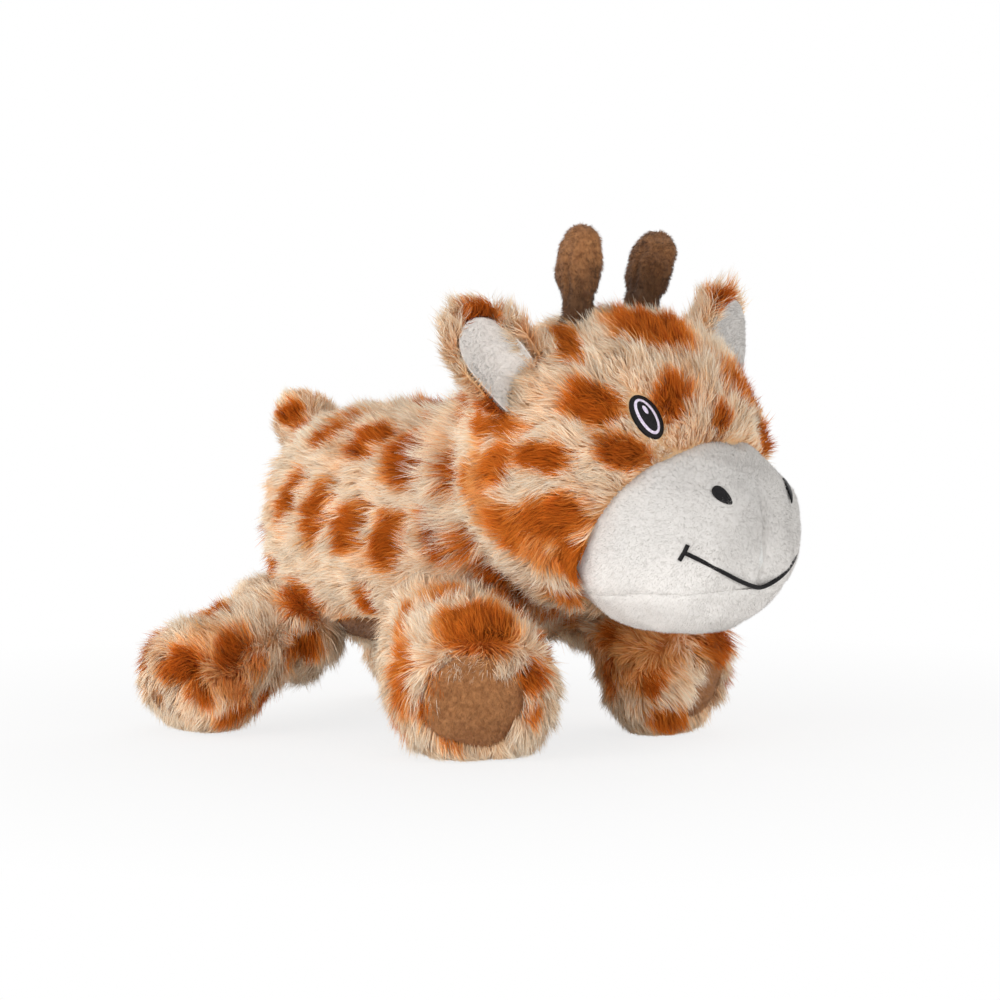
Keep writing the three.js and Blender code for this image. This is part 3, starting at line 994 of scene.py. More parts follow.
@dataclass
class Part:
    """A sub-assembly that rides on one body.

    Attributes:
        body: The body's name.
        cloths: Each cloth's material.
    """

    body: str
    cloths: dict[Cloth, Material]

    def take(
        self, piece: Piece, cloth: Cloth, replaces: Sequence[str] = (), fill: Optional[float] = None,
        light: float = 0.5,
    ) -> None:
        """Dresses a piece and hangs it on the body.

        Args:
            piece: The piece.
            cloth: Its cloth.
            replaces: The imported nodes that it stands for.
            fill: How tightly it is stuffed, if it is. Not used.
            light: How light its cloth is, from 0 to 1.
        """
        if not piece.data.materials:
            piece.data.materials.append(self.cloths[cloth])
        if "pile" not in piece.data.attributes:
            mark_light(piece.data, np.full(len(piece.data.vertices), light))
        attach(piece, self.body)
        if replaces:
            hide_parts(*replaces)
        log.info("%s: %d faces", piece.name, len(piece.data.polygons))

    def plant(self, coat: Coat, cloth: Cloth) -> None:
        """Grows hairs and hangs them on the body."""
        for piece in coat.grow(self.cloths[cloth]):
            self.take(piece, cloth)

    def dye(self, skin: Piece, spots: Sequence[Spot], seed: int) -> None:
        """Marks the cloth under the hairs with the same spots, in the roots' colour and darkened as painted
        shade under the hairs.
        """
        points = places(skin.data)
        brown = spotted(points, spots, seed % 7)
        # Painted shade: the skin takes the roots' colour, 0.1 up a hair, and a lightness of 0.35, darker than
        # the hairs' plain 0.5.
        mark(skin.data, np.stack((brown, np.full(len(points), 0.1), np.full(len(points), 0.35)), axis=1))

    def cover(self, form: Form, node: str, spots: Sequence[Spot], seed: int, **fineness: int) -> Piece:
        """Builds the stuffed cloth of a form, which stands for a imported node, and returns it."""
        bm = bmesh.new()
        form.build(bm, **fineness)
        skin = finish_mesh(f"{self.body}_skin", bm)
        self.dye(skin, spots, seed)
        self.take(skin, Cloth.FUR, [node], fill=0.85)
        return skin


# Torso, neck and tail


@dataclass
class Torso(Part):
    """The body: a fur cover, with a short-pile panel under the belly.

    Attributes:
        belly_half: Half the panel's length and width.
        seed: Which set of hairs it has.
    """

    belly_half: tuple[float, float] = (51.0, 40.0)
    seed: int = 21

    def comb(self, points: Array, out: Array) -> Array:
        """Brushed to the tail, and down over the rump."""
        rump = np.maximum(0, -out[:, 0] - 0.3)
        return np.stack((-np.ones(len(points)), np.zeros(len(points)), -0.28 - 1.8 * rump), axis=1)

    def build(self, keep_off: Lifted) -> None:
        """Builds the cover, its fur and the belly panel."""
        skin = self.cover(TORSO, "torso_cover", TORSO_SPOTS, self.seed, segments=96, rings=72)

        def room(points: Array, out: Array) -> Array:
            """None on the belly panel or inside the neighbours."""
            free = clear_of(keep_off)(points, out)
            x, y = points[:, 0] - TORSO.at[0], points[:, 1]
            belly = np.hypot(x / self.belly_half[0], y / self.belly_half[1])
            near = np.clip((belly - 1) / 0.25, 0, 1)
            below = np.where(belly < 1, 0.0, free * (0.4 + 0.6 * near))
            return np.where(points[:, 2] < TORSO.at[2], below, free)

        for side, name in SIDES:
            coat = Coat(f"torso_fur_{name}", skin, LONG_PILE, self.comb, room, TORSO_SPOTS, self.seed, side)
            self.plant(coat, Cloth.FUR)
        self.build_belly()

    def build_belly(self) -> None:
        """Builds the belly panel as a thin closed pad on the cover."""
        bm = bmesh.new()
        TORSO.build(bm, lift=0.6, segments=120, rings=96)
        off = [
            vert for vert in bm.verts
            if vert.co.z > TORSO.at[2]
            or math.hypot((vert.co.x - TORSO.at[0]) / self.belly_half[0], vert.co.y / self.belly_half[1]) > 1
        ]
        bmesh.ops.delete(bm, geom=off, context="VERTS")
        bmesh.ops.solidify(bm, geom=bm.faces[:], thickness=1.2)
        panel = finish_mesh("belly_panel_cloth", bm)
        self.take(panel, Cloth.BROWN, ["belly_panel"])
        pile = replace(NAP, crowd=2.0)
        nap = Coat("belly_nap", panel, pile, brushed((-1, 0, -0.2)), clear_of([]), (), self.seed + 2)
        self.plant(nap, Cloth.BROWN)


@dataclass
class Neck(Part):
    """The stuffed ball between the torso and the head, with longer fur that stands up.

    Attributes:
        seed: Which set of hairs it has.
    """

    seed: int = 31

    def build(self, keep_off: Lifted) -> None:
        """Builds the ball and its fur."""
        skin = self.cover(NECK, "neck", NECK_SPOTS, self.seed)
        pile = replace(LONG_PILE, length=19.0, rise=16.0, lie=54.0)
        coat = Coat("neck_fur", skin, pile, brushed((-1, 0, -0.4)), clear_of(keep_off), NECK_SPOTS, self.seed)
        self.plant(coat, Cloth.FUR)


@dataclass
class Tail(Part):
    """A short stuffed stub."""

    rise: float = 45.0
    length: float = 31.0
    seed: int = 41

    def build(self) -> None:
        """Builds the stub and its fur."""
        along = heading(180, self.rise)
        pivot = top_of(TORSO, -112, 0)
        stub = Form(slide(pivot, along, 15), (16, 11, 11), tuple(along))
        skin = fused("tail_skin", [stub, Form(pivot, (9, 9, 9))], 1.6)
        self.dye(skin, TAIL_SPOTS, self.seed)
        self.take(skin, Cloth.FUR, ["tail"], fill=0.7)
        comb = brushed(along + np.array((0, 0, 0.2)))
        room = clear_of([(TORSO, -2)])
        coat = Coat("tail_fur", skin, replace(LONG_PILE, length=8.0), comb, room, TAIL_SPOTS, self.seed)
        self.plant(coat, Cloth.FUR)


# Legs

FLOOR_GAP = 0.3
WAIST_START = 8
WAIST_END = 52
ARCH_END = 46


@dataclass
class Leg(Part):
    """A swelling stub on a ball root, with a short-pile hoof patch let into its end.

    Attributes:
        name: Its name in the record.
        side: 1 on the toy's left and -1 on its right.
        turn: Degrees that it points to its side from straight ahead.
        dip: Degrees that it points down.
        length: From its joint to its end.
        half: Half its width and height.
        spots: Its brown patches.
        seed: Which set of hairs it has.
        waist: The share by which its root is drawn in. Over 0, the hairs on its inner side are short.
        bare: The share of the hoof patch that is free of hairs.
        arch: How far its underside stands off the floor at the root.
        crest: The way that its top is brushed, if not back along it.
        crowd: Locks to a square mm.
        hoof_shift: How far the hoof patch lies off the middle of its end, across and up.
        hoof_half: Half the hoof patch's width and height.
        hoof_roll: Degrees that the hoof patch is turned.
        trim: How far its side reaches in the camera's view, at heights over the floor.
        trim_way: 1 where trim is its right edge there, and -1 where it is its left one.
        ceiling: The height over which its top is flattened.
    """

    name: str = ""
    side: int = 1
    turn: float = 0.0
    dip: float = 20.0
    length: float = 76.0
    half: tuple[float, float] = (30.0, 29.0)
    spots: Sequence[Spot] = ()
    seed: int = 51
    waist: float = 0.0
    bare: float = 1.0
    arch: float = 0.0
    crest: Optional[Point] = None
    crowd: float = 4.2
    hoof_shift: tuple[float, float] = (0.0, 2.5)
    hoof_half: tuple[float, float] = (21.0, 20.0)
    hoof_roll: float = 0.0
    trim: tuple = ()
    trim_way: int = 1
    ceiling: float = 99.0

    def shape(self) -> None:
        """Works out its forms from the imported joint."""
        joint = next(j for j in frame["joints"] if j["name"] == f"{self.name}_leg_lift")
        self.pivot = tuple(np.array(joint["pos_m"]) / MM - SHIFT)
        self.along = heading(self.turn, -self.dip, self.side)
        middle, semi = slide(self.pivot, self.along, self.length / 2), (self.length / 2, *self.half)
        self.stub = Form(middle, semi, tuple(self.along), end_power=3.6, taper=0.08)
        self.root = Form(self.pivot, (24, 24, 24))
        end = np.array(slide(self.pivot, self.along, self.length - 1))
        end = end + np.array(self.hoof_shift) @ self.stub.axes()[1:]
        self.hoof = Form(
            tuple(end), (4.5, *self.hoof_half), tuple(self.along), roll=self.hoof_roll, section_power=2.8,
        )

    def run(self, points: Array) -> Array:
        """How far along the leg points lie from its joint."""
        return (points - np.array(self.pivot)) @ self.along

    def comb(self, points: Array, out: Array) -> Array:
        """Brushed back over the top, to the floor down the sides, and over the hoof at the end."""
        end = np.clip((self.run(points) - self.length + 16) / 10, 0, 1)[:, None]
        top = np.clip(out[:, 2:] * 1.6, 0, 1)
        crest = -self.along * 0.8 if self.crest is None else np.array(self.crest)
        middle = crest * top + (self.along * 0.3 + DOWN) * (1 - top)
        return middle * (1 - end) + (self.along * 0.5 + DOWN) * end

    def drawn_in(self, points: Array) -> Array:
        """Slims the root, arches it off the floor, flattens the top and trims one side."""
        run = self.run(points)
        centre = np.array(self.pivot) + np.outer(run, self.along) + np.array((0, 0, 5.0))
        slim = self.waist * np.clip(1 - run / WAIST_END, 0, 1) * np.clip(run / WAIST_START, 0, 1)
        points = points + (centre - points) * slim[:, None]
        low = self.arch * np.clip(1.25 - run / ARCH_END, 0, 1)
        height = np.where(points[:, 2] < low, low + 0.15 * (points[:, 2] - low), points[:, 2])
        points[:, 2] = np.maximum(np.minimum(height, 0.7 * self.ceiling + 0.3 * height), FLOOR_GAP)
        if self.trim:
            across = heading(40, 0)
            limits = np.interp(points[:, 2], *zip(*self.trim))
            over = np.maximum(0, (points @ across - limits) * self.trim_way)
            points -= np.outer(0.85 * self.trim_way * over, across)
        return points

    def stuff(self, skin: Piece) -> None:
        """Builds the fibre that fills the cover."""
        fibre = link_new(f"{self.name}_leg_fibre", skin.data.copy())
        fibre.data.materials.clear()
        move_points(fibre, places(fibre.data) - 1.5 * out_of(fibre.data))
        self.take(fibre, Cloth.FIBRE, [f"{self.name}_leg_filling"])

    def fur(self, skin: Piece) -> Coat:
        """The hairs on the cover."""
        wide = replace(self.hoof, semi=(9.0, self.hoof.semi[1] * self.bare, self.hoof.semi[2] * self.bare))
        clear = clear_of([(TORSO, -3), (NECK, -2), (wide, 0.5)])

        def room(points: Array, out: Array) -> Array:
            """Shorter hairs on a drawn-in leg's inner side, and on an end whose hoof patch is covered."""
            inner = np.clip(-out[:, 1] * self.side - 0.2, 0, 1) * (self.waist > 0)
            end = np.clip((self.run(points) - self.length + 12) / 8, 0, 1) * (self.bare < 0.5)
            return clear(points, out) * (1 - 0.55 * inner) * (1 - 0.2 * end)

        pile = replace(LONG_PILE, crowd=self.crowd, rise=34.0, lie=80.0)
        return Coat(f"{self.name}_leg_fur", skin, pile, self.comb, room, self.spots, self.seed)

    def build_hoof(self) -> None:
        """Builds the hoof patch and its nap."""
        bm = bmesh.new()
        replace(self.hoof, semi=(5.5, self.hoof.semi[1] + 1, self.hoof.semi[2] + 1)).build(bm)
        pad = finish_mesh(f"{self.name}_hoof_pad", bm)
        points = places(pad.data)
        points[:, 2] = np.maximum(points[:, 2], FLOOR_GAP)
        move_points(pad, points)
        self.take(pad, Cloth.BROWN, [f"{self.name}_hoof_patch"], fill=0.6, light=1.0)
        outside = clear_of([(self.stub, -1)])
        nap = Coat(
            f"{self.name}_hoof_nap", pad, NAP, brushed(DOWN), outside, (), self.seed + 1, shade=evenly(0.8),
        )
        self.plant(nap, Cloth.BROWN)

    def build(self) -> None:
        """Builds the cover, its fibre and its fur, and the hoof patch."""
        skin = fused(f"{self.name}_leg_skin", [self.stub, self.root], 2.4, 10)
        move_points(skin, self.drawn_in(places(skin.data)))
        self.dye(skin, self.spots, self.seed)
        self.take(skin, Cloth.FUR, [f"{self.name}_leg_cover"], fill=0.8)
        self.stuff(skin)
        self.plant(self.fur(skin), Cloth.FUR)
        self.build_hoof()


def four_legs(cloths: dict[Cloth, Material]) -> list[Leg]:
    """The legs, each posed and squashed as the photograph shows it."""
    front_right = Leg(
        "front_right_leg", cloths, "front_right", -1, 37.0, spots=FRONT_RIGHT_SPOTS, seed=51, bare=0.9,
        arch=18.0, hoof_shift=(-4.5, 5.5), hoof_half=(20.0, 19.0), hoof_roll=-20.0,
    )
    front_left = Leg(
        "front_left_leg", cloths, "front_left", 1, 13.0, spots=FRONT_LEFT_SPOTS, seed=53, waist=0.4, bare=0.8,
        arch=44.0, crowd=3.3, hoof_half=(17.0, 16.0), trim_way=-1,
        trim=((6, 54), (15, 46), (37, 41), (46, 30), (54, -100)),
    )
    hind = {
        "turn": 108.0, "dip": 28.0, "length": 64.5, "half": (27.0, 21.0), "waist": 0.3, "bare": 0.0,
        "ceiling": 56.0, "hoof_half": (15.0, 11.0), "crest": (-0.6, 0.0, 0.3),
    }
    hind_right = Leg(
        "hind_right_leg", cloths, "hind_right", -1, spots=HIND_SPOTS, seed=55,
        trim=((5, -112), (17, -98), (31, -91), (42, -70), (50, 100)), **hind,
    )
    hind_left = Leg(
        "hind_left_leg", cloths, "hind_left", 1, spots=mirrored(HIND_SPOTS), seed=57, arch=38.0, crowd=3.3,
        **hind,
    )
    legs = [front_right, front_left, hind_right, hind_left]
    for leg in legs:
        leg.shape()
    return legs


# Head


@dataclass(frozen=True)
class Patch:
    """Where embroidery is sewn to a form.

    Attributes:
        form: What it is sewn to.
        start: A place well off the form, over the embroidery's middle.
        along: The direction from the form to that place.
        across: The embroidery's axis to the side.
        rise: Its axis upward.
    """

    form: Form
    start: Array
    along: Array
    across: Array
    rise: Array

    def sew(self, name: str, bm: bmesh.types.BMesh, ups: Array, sides: Array, heights: Array) -> Piece:
        """Lays a bmesh on the form as raised embroidery.

        Args:
            name: The piece's name.
            bm: The mesh.
            ups: How far up each point goes.
            sides: How far to the side each goes.
            heights: How high over the form each stands.

        Returns:
            The piece.
        """
        offsets = np.outer(ups, self.rise) + np.outer(sides, self.across)
        base = self.form.drop(self.start + offsets, -self.along)
        put_points(bm, base + self.form.normal(base) * heights[:, None])
        return finish_mesh(name, bm)


def aim_patch(form: Form, aim: tuple[float, float], side: int, lean: float) -> Patch:
    """The place in a direction from a form's middle, with its axes turned by lean degrees."""
    along = heading(*aim, side)
    across, rise = Form(form.at, (1, 1, 1), tuple(along), roll=-side * lean).axes()[1:]
    return Patch(form, np.array(form.at) + along * FAR_OFF, along, across, rise)


def domed(ball: Array) -> Array:
    """Heights from 0 to 1 that make a ball's upper half a flat-topped pad, and 0 for its lower half."""
    return np.where(ball[:, 2] > 0, ball[:, 2] ** 2, 0) ** 0.25


@dataclass
class Head(Part):
    """The head: fur, the muzzle's two panels, and the embroidered face.

    Attributes:
        eye_aim: Degrees to the side and upward at which an eye lies from the head's middle.
        eye_half: Half its height and width.
        eye_lean: Degrees that its top leans inward.
        nostril_aims: Where the right and the left nostril lie from the muzzle's middle.
        nostril_lean: Degrees that a nostril leans.
        seam_drop: How far the muzzle's seam lies under its middle.
        seam_dip: Degrees that the seam falls to the front.
        mouth_drop: How far the smile's lowest point lies under the muzzle's middle.
        mouth_rise: How far its corners are raised.
        mouth_half: Half its width.
        mouth_power: How sharply it curves up.
        seed: Which set of hairs the head has.
    """

    eye_aim: tuple[float, float] = (38.5, 22.5)
    eye_half: tuple[float, float] = (10.5, 6.2)
    eye_lean: float = 28.0
    nostril_aims: tuple[tuple[float, float], ...] = ((27.0, 19.5), (31.0, 19.5))
    nostril_lean: float = 42.0
    seam_drop: float = 25.0
    seam_dip: float = 3.0
    mouth_drop: float = 22.0
    mouth_rise: float = 17.0
    mouth_half: float = 39.0
    mouth_power: float = 1.5
    seed: int = 61

    def comb(self, points: Array, out: Array) -> Array:
        """Brushed away from the muzzle, over the brow and the cheeks."""
        away = unit(points - np.array((100.0, 0.0, 112.0)))
        jaw = np.clip((112 - points[:, 2]) / 30, 0, 1) * np.clip((points[:, 0] - 45) / 20, 0, 1)
        return away + np.stack((-0.35 + 1.5 * jaw, 0 * jaw, -0.12 - 1.0 * jaw), axis=1)

    def round_eye(self, side: int, points: Array, out: Array) -> Array:
        """The share of their length that hairs have near an eye: none on it, and little over it."""
        eye = aim_patch(HEAD, self.eye_aim, side, self.eye_lean)
        away = points - eye.start
        ring = np.hypot(away @ eye.rise / self.eye_half[0], away @ eye.across / self.eye_half[1])
        ring = np.where(out @ eye.along > 0, ring, 9.0)
        over = np.sum(self.comb(points, out) * (np.array(point_on(HEAD, eye.along)) - points), axis=1) > 0
        near = np.clip(np.where(over, 0.12 + 0.55 * (ring - 1), 0.3 + 0.5 * (ring - 1)), 0.12, 1)
        return np.where(ring < 1.03, 0.0, near)

    def build(self, keep_off: Lifted) -> None:
        """Builds the cover, its fur, the muzzle and the face."""
        skin = self.cover(HEAD, "head_cover", HEAD_SPOTS, self.seed, segments=96, rings=72)

        def room(points: Array, out: Array) -> Array:
            """None inside the neighbours, short round the eyes and the muzzle, and longer at the nape."""
            free = clear_of(keep_off)(points, out)
            for side, _ in SIDES:
                free = free * self.round_eye(side, points, out)
            edge = np.clip(MUZZLE.level(points, 0.5) * 3.0, 0, 1)
            brow = np.clip((points[:, 2] - 112) / 12, 0, 1)
            nape = np.clip((36 - points[:, 0]) / 18, 0, 1)
            return free * (1 - 0.45 * (1 - edge) * brow) * (1 + 0.35 * nape)

        for side, name in SIDES:
            coat = Coat(f"head_fur_{name}", skin, LONG_PILE, self.comb, room, HEAD_SPOTS, self.seed, side)
            self.plant(coat, Cloth.FUR)
        self.build_muzzle()
        for side, name in SIDES:
            self.build_eye(side, name)
            self.build_nostril(side, name)
        self.build_mouth()

    def muzzle_painted_light(self, points: Array) -> Array:
        """Painted light and shade on the muzzle's pile: lighter towards the bottom, standing in for light
        thrown up from the floor, and darker towards the top, under the brow.
        """
        return np.interp(points[:, 2], (58, 76, 96, 124), (1.0, 0.85, 0.4, 0.25))

    def build_muzzle(self) -> None:
        """Builds the upper panel and the chin, with the seam between them and the dart up the nose."""
        up = heading(180, 90 - self.seam_dip)
        foot = np.array(MUZZLE.at) - np.array((0, 0, self.seam_drop))
        for name, keep_up in (("upper", True), ("chin", False)):
            bm = bmesh.new()
            MUZZLE.build(bm, segments=144, rings=110)
            bmesh.ops.bisect_plane(
                bm, geom=bm.verts[:] + bm.edges[:] + bm.faces[:], dist=1e-4,
                plane_co=foot, plane_no=up, clear_inner=keep_up, clear_outer=not keep_up,
            )
            bmesh.ops.holes_fill(bm, edges=[edge for edge in bm.edges if edge.is_boundary])
            panel = finish_mesh(f"muzzle_{name}_cloth", bm)
            points = places(panel.data)
            soft = 1.3 * ripple(points, 38, 71) + 0.5 * ripple(points, 15, 72)
            seam = 0.4 * np.exp(-((np.abs((points - foot) @ up) / 1.4) ** 2))
            x, y, z = points.T
            ahead = np.clip((x - 105) / 15, 0, 1) * np.clip((122 - z) / 14, 0, 1) * keep_up
            dart = ahead * (2.4 * np.exp(-np.abs(y) / 1.4) + 1.3 * np.exp(-((y / 8.0) ** 2)))
            move_points(panel, points + (soft * 0.6 - seam - dart)[:, None] * MUZZLE.normal(points))
            # Painted light and shade: the cloth is marked lighter towards the bottom and darker towards the
            # top.
            mark_light(panel.data, self.muzzle_painted_light(points))
            self.take(panel, Cloth.WHITE, [f"muzzle_{name}"], fill=0.85)
            outside = clear_of([(HEAD, -1), (MUZZLE, -4)])
            # The nap gets the same painted light and shade as its panel.
            nap = Coat(
                f"muzzle_{name}_nap", panel, MUZZLE_NAP, brushed((-1, 0, -0.6)), outside, (), 73 + keep_up,
                shade=lambda at: self.muzzle_painted_light(at) - 0.5,
            )
            self.plant(nap, Cloth.WHITE)

    def build_eye(self, side: int, name: str) -> None:
        """Builds an eye: an outline, a ring, a pupil and a glint."""
        eye = aim_patch(HEAD, self.eye_aim, side, self.eye_lean)
        layers = (
            ("outline", 0.0, 0.0, 1.1, Cloth.BLACK),
            ("ring", 2.0, 0.5, 1.35, Cloth.PALE),
            ("pupil", 3.2, 0.7, 1.6, Cloth.BLACK),
        )
        for layer, inset, low, high, cloth in layers:
            bm, ball = new_ball(56, 24)
            ups, sides = ball[:, 0] * (self.eye_half[0] - inset), ball[:, 1] * (self.eye_half[1] - inset)
            heights = low + (high - low) * domed(ball)
            piece = eye.sew(f"eye_{name}_{layer}_stitches", bm, ups, sides, heights)
            self.take(piece, cloth, [f"eye_{name}_{layer}"])
        bm, ball = new_ball(24, 12)
        heights = 1.4 + 0.6 * np.where(ball[:, 2] > 0, ball[:, 2], 0)
        ups, sides = 2.6 + ball[:, 0] * 2.1, ball[:, 1] * 0.9 - side * 0.5
        piece = eye.sew(f"eye_{name}_glint_stitches", bm, ups, sides, heights)
        self.take(piece, Cloth.PALE, [f"eye_{name}_glint"])

    def build_nostril(self, side: int, name: str) -> None:
        """Builds a nostril: a drop, round above and pointed below."""
        patch = aim_patch(MUZZLE, self.nostril_aims[0 if side < 0 else 1], side, self.nostril_lean)
        bm, ball = new_ball(48, 20)
        narrow = np.clip(0.58 + 0.42 * ball[:, 0], 0.05, 1)
        ups, sides = ball[:, 0] * 6.9, ball[:, 1] * 4.5 * narrow
        piece = patch.sew(f"nostril_{name}_stitches", bm, ups, sides, 0.5 + 0.9 * domed(ball))
        self.take(piece, Cloth.BLACK, [f"nostril_{name}"])

    def mouth_lines(self) -> list[Array]:
        """The smile and the cross stitch at each of its corners, as places to the side and up."""
        share = np.linspace(-1, 1, 81)
        rise = self.mouth_rise * np.abs(share) ** self.mouth_power
        lines = [np.stack((share * self.mouth_half, rise - self.mouth_drop), 1)]
        for side, _ in SIDES:
            corner = np.array((side * self.mouth_half, self.mouth_rise - self.mouth_drop))
            half = np.array((-side * 0.9, 3.3))
            lines.append(np.array([corner + half * step for step in np.linspace(-1, 1, 9)]))
        return lines

    def build_mouth(self) -> None:
        """Builds the smile as one thick stitched line with a cross stitch at each corner."""
        curve = bpy.data.curves.new("smile", "CURVE")
        curve.dimensions = "3D"
        curve.bevel_depth = 0.95 * MM
        curve.bevel_resolution = 3
        for flat in self.mouth_lines():
            ahead = np.full(len(flat), MUZZLE.at[0] + 60.0)
            start = np.stack((ahead, flat[:, 0], MUZZLE.at[2] + flat[:, 1]), axis=1)
            onto = MUZZLE.drop(start, np.array((-1.0, 0.0, 0.0)))
            onto += 0.2 * MUZZLE.normal(onto)
            spline = curve.splines.new("POLY")
            spline.points.add(len(onto) - 1)
            for point, place in zip(spline.points, (onto + SHIFT) * MM):
                point.co = (*place, 1.0)
        curve.use_fill_caps = True
        sewn = link_new("mouth_curve", curve)
        graph = bpy.context.evaluated_depsgraph_get()
        mesh = bpy.data.meshes.new_from_object(sewn.evaluated_get(graph))
        bpy.data.objects.remove(sewn)
        mesh.shade_smooth()
        mesh.materials.clear()
        self.take(link_new("mouth_stitches", mesh), Cloth.BLACK, ["mouth"])


@dataclass
class Ear(Part):
    """A leaf of fur and short pile whose inner edge curls forward over the cup.

    Attributes:
        name: Which ear it is.
        side: 1 on the toy's left and -1 on its right.
        root_turn: Degrees to its side of straight ahead at which its root lies on the head.
        rise: Degrees that it points up.
        length: Half its length.
        width: Half its width.
        outer_bend: Degrees that its outer half turns.
        curl: Degrees that its inner half curls forward.
        shift: How far it lies off its root, along it, inward and forward.
        inset: How much smaller its lining is all round.
        sink: How much further off the lining lies.
        bowl: How deep its cup is.
        rim: The share of their length that the hairs have at its outer rim.
        light: Painted light and shade: how light the lining is, raised on the near ear and lowered on the far
            one to stand in for how light falls on each.
        seed: Which set of hairs it has.
    """

    name: str = ""
    side: int = 1
    root_turn: float = 95.0
    rise: float = 42.0
    length: float = 27.0
    width: float = 19.0
    outer_bend: float = 40.0
    curl: float = 120.0
    shift: Point = (-6.0, 5.0, -5.0)
    inset: float = 2.2
    sink: Point = (-2.0, -1.0, 0.0)
    bowl: float = 4.0
    rim: float = 0.6
    light: float = 1.0
    seed: int = 81

    def bend(self, across: Array, run: Array) -> tuple[Array, Array]:
        """Where the leaf's middle layer runs, and its forward directions, in the plane across the ear.

        Args:
            across: Distances over the leaf from its middle, over 0 to its inner edge.
            run: Shares of its length, -1 at the root and 1 at the tip.

        Returns:
            Places and directions, each inward and forward.
        """

        def turned(over: Array) -> Array:
            """How far the leaf has turned at distances over it."""
            share = over / self.width
            inner = math.radians(self.curl) * (0.75 - 0.3 * run) * np.clip(share, 0, 1) ** 1.3
            return inner + math.radians(self.outer_bend) * np.clip(share, -1, 0)

        steps = 24
        place = np.zeros((len(across), 2))
        for step in range(steps):
            angle = turned(across * (step + 0.5) / steps)
            place += np.stack((np.cos(angle), np.sin(angle)), axis=1) * (across / steps)[:, None]
        angle = turned(across)
        return place, np.stack((-np.sin(angle), np.cos(angle)), axis=1)

    def leaf(self, name: str, inset: float, thick: float, ahead: float) -> Piece:
        """One closed layer of the ear.

        Args:
            name: The piece's name.
            inset: How much smaller it is than the ear all round.
            thick: Half its thickness.
            ahead: How far forward of the ear's middle layer it lies.

        Returns:
            The piece.
        """
        bm, ball = new_ball(72, 48)
        run = ball[:, 0]
        across = np.sign(ball[:, 1]) * np.abs(ball[:, 1]) ** 0.85 * (self.width - inset)
        across *= 1 - 0.1 * np.clip(run, 0, 1) ** 2
        place, front = self.bend(across, run)
        hollow = self.bowl * (1 - run**2) * (1 - ball[:, 1] ** 2)
        place = place + front * (ahead - hollow + thick * ball[:, 2])[:, None]
        shift = np.array(self.shift) + (np.array(self.sink) if inset else 0)
        own = np.outer(run * (self.length - inset) + shift[0], self.along)
        own += np.outer(place[:, 0] + shift[1], self.inner) + np.outer(place[:, 1] + shift[2], self.forward)
        put_points(bm, own + np.array(self.centre))
        return finish_mesh(name, bm)

    def build(self) -> None:
        """Builds the back with its fur, and the lining."""
        self.pivot = point_on(HEAD, heading(self.root_turn, 27, self.side))
        self.along = heading(100, self.rise, self.side)
        ahead = np.array((1.0, 0, 0))
        self.forward = unit(ahead - (ahead @ self.along) * self.along)
        self.inner = np.cross(self.forward, self.along) * self.side
        self.centre = slide(self.pivot, self.along, self.length)
        back = self.leaf(f"ear_{self.name}_skin", 0, 1.8, -1.2)
        lining = self.leaf(f"ear_{self.name}_lining_cloth", self.inset, 1.6, 1.2)
        spots = [
            Spot(slide(slide(self.centre, self.along, 14), self.inner, 12), tuple(self.along * 8), 8),
            Spot(slide(slide(self.pivot, self.along, 12), self.inner, -12), tuple(self.along * 9), 6),
        ]
        self.dye(back, spots, self.seed)
        self.take(back, Cloth.FUR, [f"ear_{self.name}_back"], fill=0.4)
        near = tree_of(places(lining.data))

        def room(points: Array, out: Array) -> Array:
            """None under the lining."""
            bare = np.array([near.find(point)[2] < 1.7 for point in points])
            outer = np.clip(-((points - np.array(self.centre)) @ self.inner) / 8 - 0.4, 0, 1)
            long = 0.95 - (0.95 - self.rim) * outer
            return np.where(bare, 0.0, long) * clear_of([(HEAD, 1)])(points, out)

        def comb(points: Array, out: Array) -> Array:
            """Brushed to the rim and the tip."""
            return unit(points - np.array(self.pivot)) * 1.3 - 0.5 * self.forward

        self.plant(Coat(f"ear_{self.name}_fur", back, LONG_PILE, comb, room, spots, self.seed), Cloth.FUR)
        # Painted light and shade on the lining, by the ear's light value.
        self.take(lining, Cloth.WHITE, [f"ear_{self.name}_lining"], light=self.light)
        outside = clear_of([(HEAD, 0)])
        # The lining's nap gets the same painted light and shade.
        nap = Coat(
            f"ear_{self.name}_nap", lining, EAR_NAP, brushed(self.along), outside, (), self.seed + 2,
            shade=evenly(self.light - 0.55),
        )
        self.plant(nap, Cloth.WHITE)


